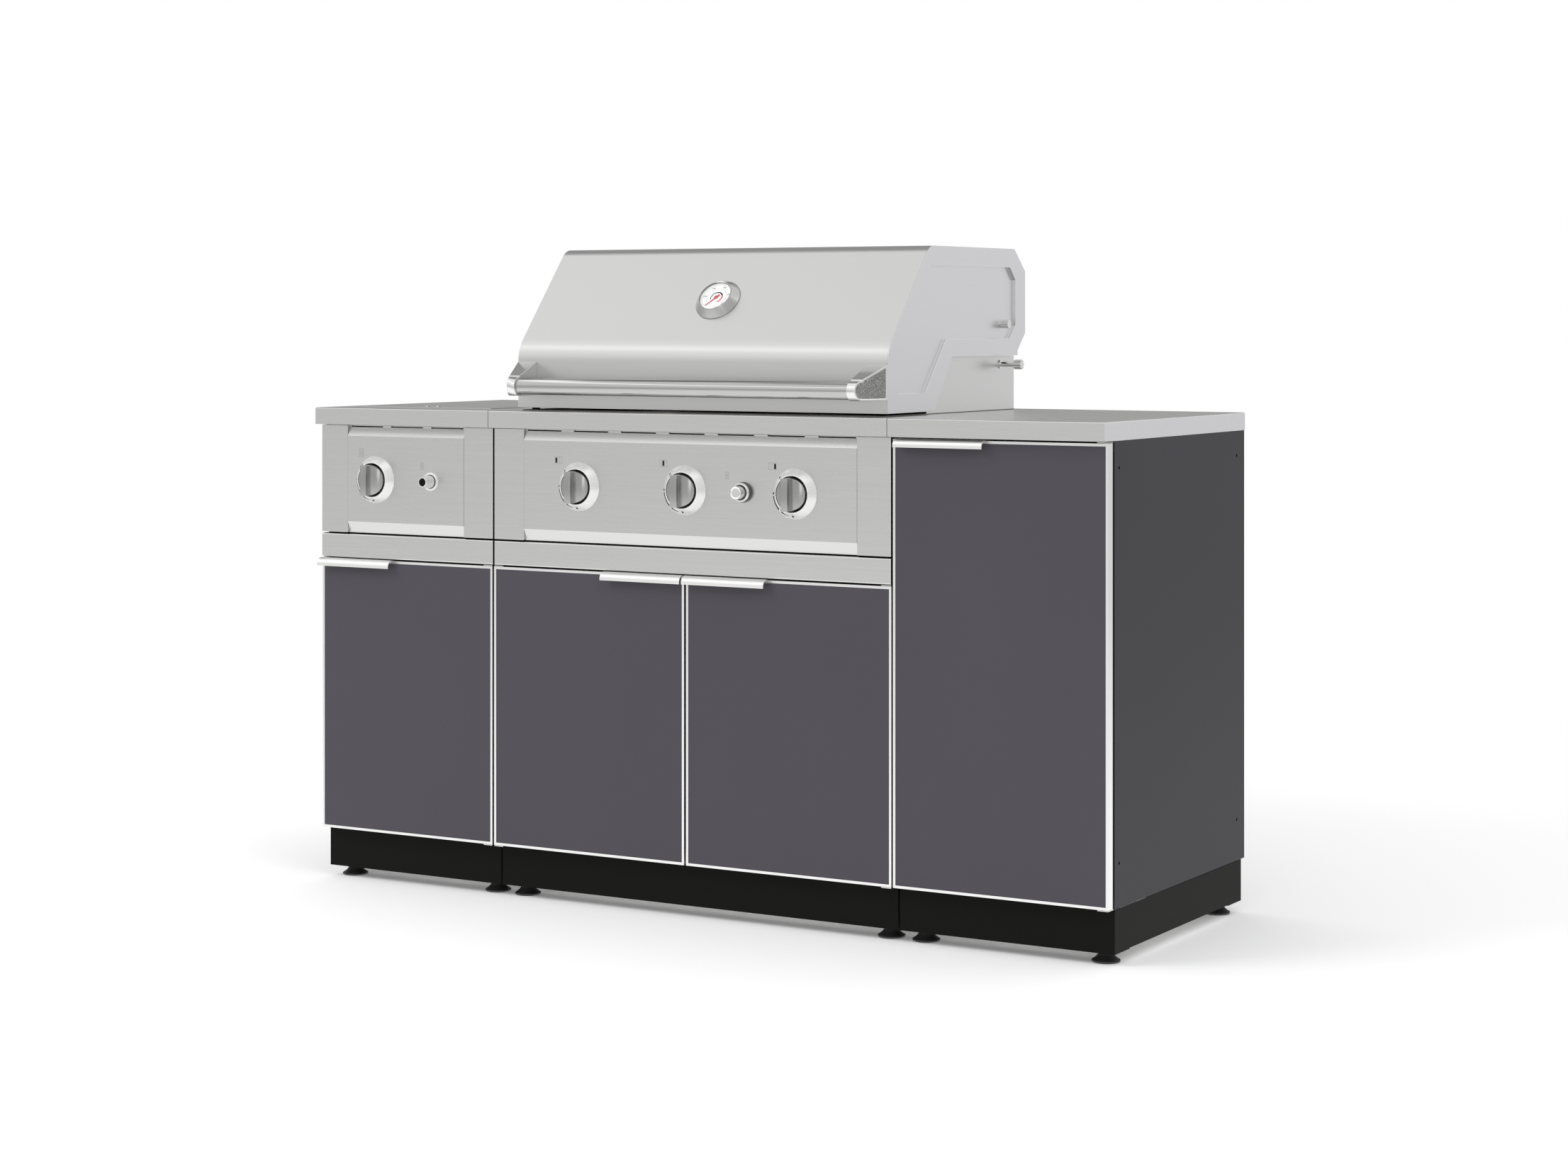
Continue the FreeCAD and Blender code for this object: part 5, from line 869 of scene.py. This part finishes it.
# Thermometer: a spun conical bezel on the hood's slope. Under its glass is a white dial with a
# scale, black up to the searing range and red above it, and a red needle on a pin.
dial_place = at(hood_middle, 123.2, 1104.8)
dial_out, dial_up = Vector((0, -0.7676, 0.6409)), Vector((0, 0.6409, 0.7676))
face_rise, print_rise, number_rise = 8.0, 8.06, 8.07
case_rings = [(44.0, 0), (44.0, 1.6), (43.3, 2.6), (33.4, 13.6), (32.6, 14.6), (31.8, 14.9), (31.0, 14.6),
              (30.6, 13.8), (30.5, 7.6)]
case = turned("thermometer_bezel", case_rings, dial_place, dial_out, 96)
case_steel = brushed("bezel_steel", (0.40, 0.40, 0.395), 0.22, "x", 0.015, 0.000002)
finished(case, case_steel, "hood", "stainless_bright", "thermometer_case")
face_rings = [(32.4, 7.2), (32.4, face_rise), (0.4, face_rise)]
face = turned("thermometer_face", face_rings, dial_place, dial_out, 96)
surround_rings = [(30.4, face_rise), (30.4, 11.6), (30.0, 11.6), (28.4, 8.05)]
surround = turned("dial_surround", surround_rings, dial_place, dial_out, 96)
enamel = (0.90, 0.90, 0.885)
finished(surround, coat("surround_white", enamel, 0.5, 400.0, 0.00001), "hood", "dial_white")
finished(face, coat("dial_white", enamel, 0.5, 400.0, 0.00001), "hood", "dial_white", "thermometer_dial")


def on_dial(radius, degrees, rise):
    """Point on the dial: mm from its centre, degrees counter-clockwise from the right, mm above."""
    turn = math.radians(degrees)
    across = Vector((math.cos(turn), 0, 0)) + dial_up * math.sin(turn)
    return dial_place + across * radius / 1000 + dial_out * rise / 1000


def dial_arc(name, start, end, radius, width, steps, taper=1.0):
    """Printed arc on the dial from one angle round to another; its width may change by a taper."""
    ends = [on_dial(radius + side * width / 2, start, print_rise) for side in (-1, 1)]
    return swept_mark(name, dial_place, dial_out, *ends, steps, start - end, taper)


red_print = coat("dial_red", (0.55, 0.03, 0.03), 0.5, 400.0, 0.00001)
grey_print = coat("dial_grey", (0.30, 0.30, 0.30), 0.5, 400.0, 0.00001)
arc_radius, red_start, inner_circle, number_circle, outer_circle = 11.6, 28, 19.6, 24.8, 28.6
finished(dial_arc("dial_black_arc", 205, red_start, arc_radius, 1.6, 48, 1.012), ink, "hood", "button_black")
finished(dial_arc("dial_red_arc", red_start, -62, arc_radius, 2.8, 24), red_print, "hood", "needle_red")
ring_lines = [dial_arc("dial_ring", 0, 359.9, radius, 0.35, 72) for radius in (inner_circle, outer_circle)]
scale_start, tick_step, tick_inner, half = 228, 10.6, 19.8, 0.5
for i in range(26):
    turn = scale_start - i * tick_step
    long = 2.6 if i % 5 == 0 else 1.4
    ring_lines.append(dial_arc("dial_tick", turn + half, turn - half, tick_inner + long / 2, long, 1))
finished(joined("dial_scale", ring_lines), grey_print, "hood", "button_black")
numbers = []
lie = Matrix((Vector(along_x), dial_up, dial_out)).transposed().to_4x4()
for i in range(6):
    bpy.ops.object.select_all(action="DESELECT")
    bpy.ops.object.text_add(location=(0, 0, 0))
    number = bpy.context.active_object
    number.data.body = str(100 * (i + 1))
    number.data.size = 0.0050
    number.data.align_x = "CENTER"
    number.data.align_y = "CENTER"
    bpy.ops.object.convert(target="MESH")
    place = on_dial(number_circle, scale_start - i * 5 * tick_step, number_rise)
    number.matrix_world = Matrix.Translation(place) @ lie
    bpy.ops.object.transform_apply(location=True, rotation=True, scale=True)
    numbers.append(number)
finished(joined("dial_numbers", numbers), ink, "hood", "button_black")
needle_red = coat("needle_red", (0.58, 0.09, 0.11), 0.4, 400.0, 0.00001)
softened("thermometer_needle", "needle", "needle_red", needle_red)
glass, n, links, shader = material("gauge_glass", (1, 1, 1), 0.02)
shader.inputs["Transmission Weight"].default_value = 1.0
shader.inputs["IOR"].default_value = 1.08
place = n.new("ShaderNodeTexCoord")
ripple = n.new("ShaderNodeTexNoise")
ripple.inputs["Scale"].default_value = 60.0
links.new(place.outputs["Object"], ripple.inputs["Vector"])
bump = n.new("ShaderNodeBump")
bump.inputs["Strength"].default_value = 0.05
bump.inputs["Distance"].default_value = 0.00002
links.new(ripple.outputs["Fac"], bump.inputs["Height"])
links.new(bump.outputs["Normal"], shader.inputs["Normal"])
dress(glass, "thermometer_glass")


# Side burner: a pressed bowl in the counter with a cast burner ring, its cap and a cast pot stand,
# under a flush steel lid with two lifting studs.
softened("side_burner_lid", "side_lid", "stainless_bright", counter_steel, 0.6)
dress(counter_steel, "side_burner_bowl")
softened("side_burner_grate", "cabinet", "cast_black", cast_iron, 1.0)
dress(cast_iron, "side_burner_head")
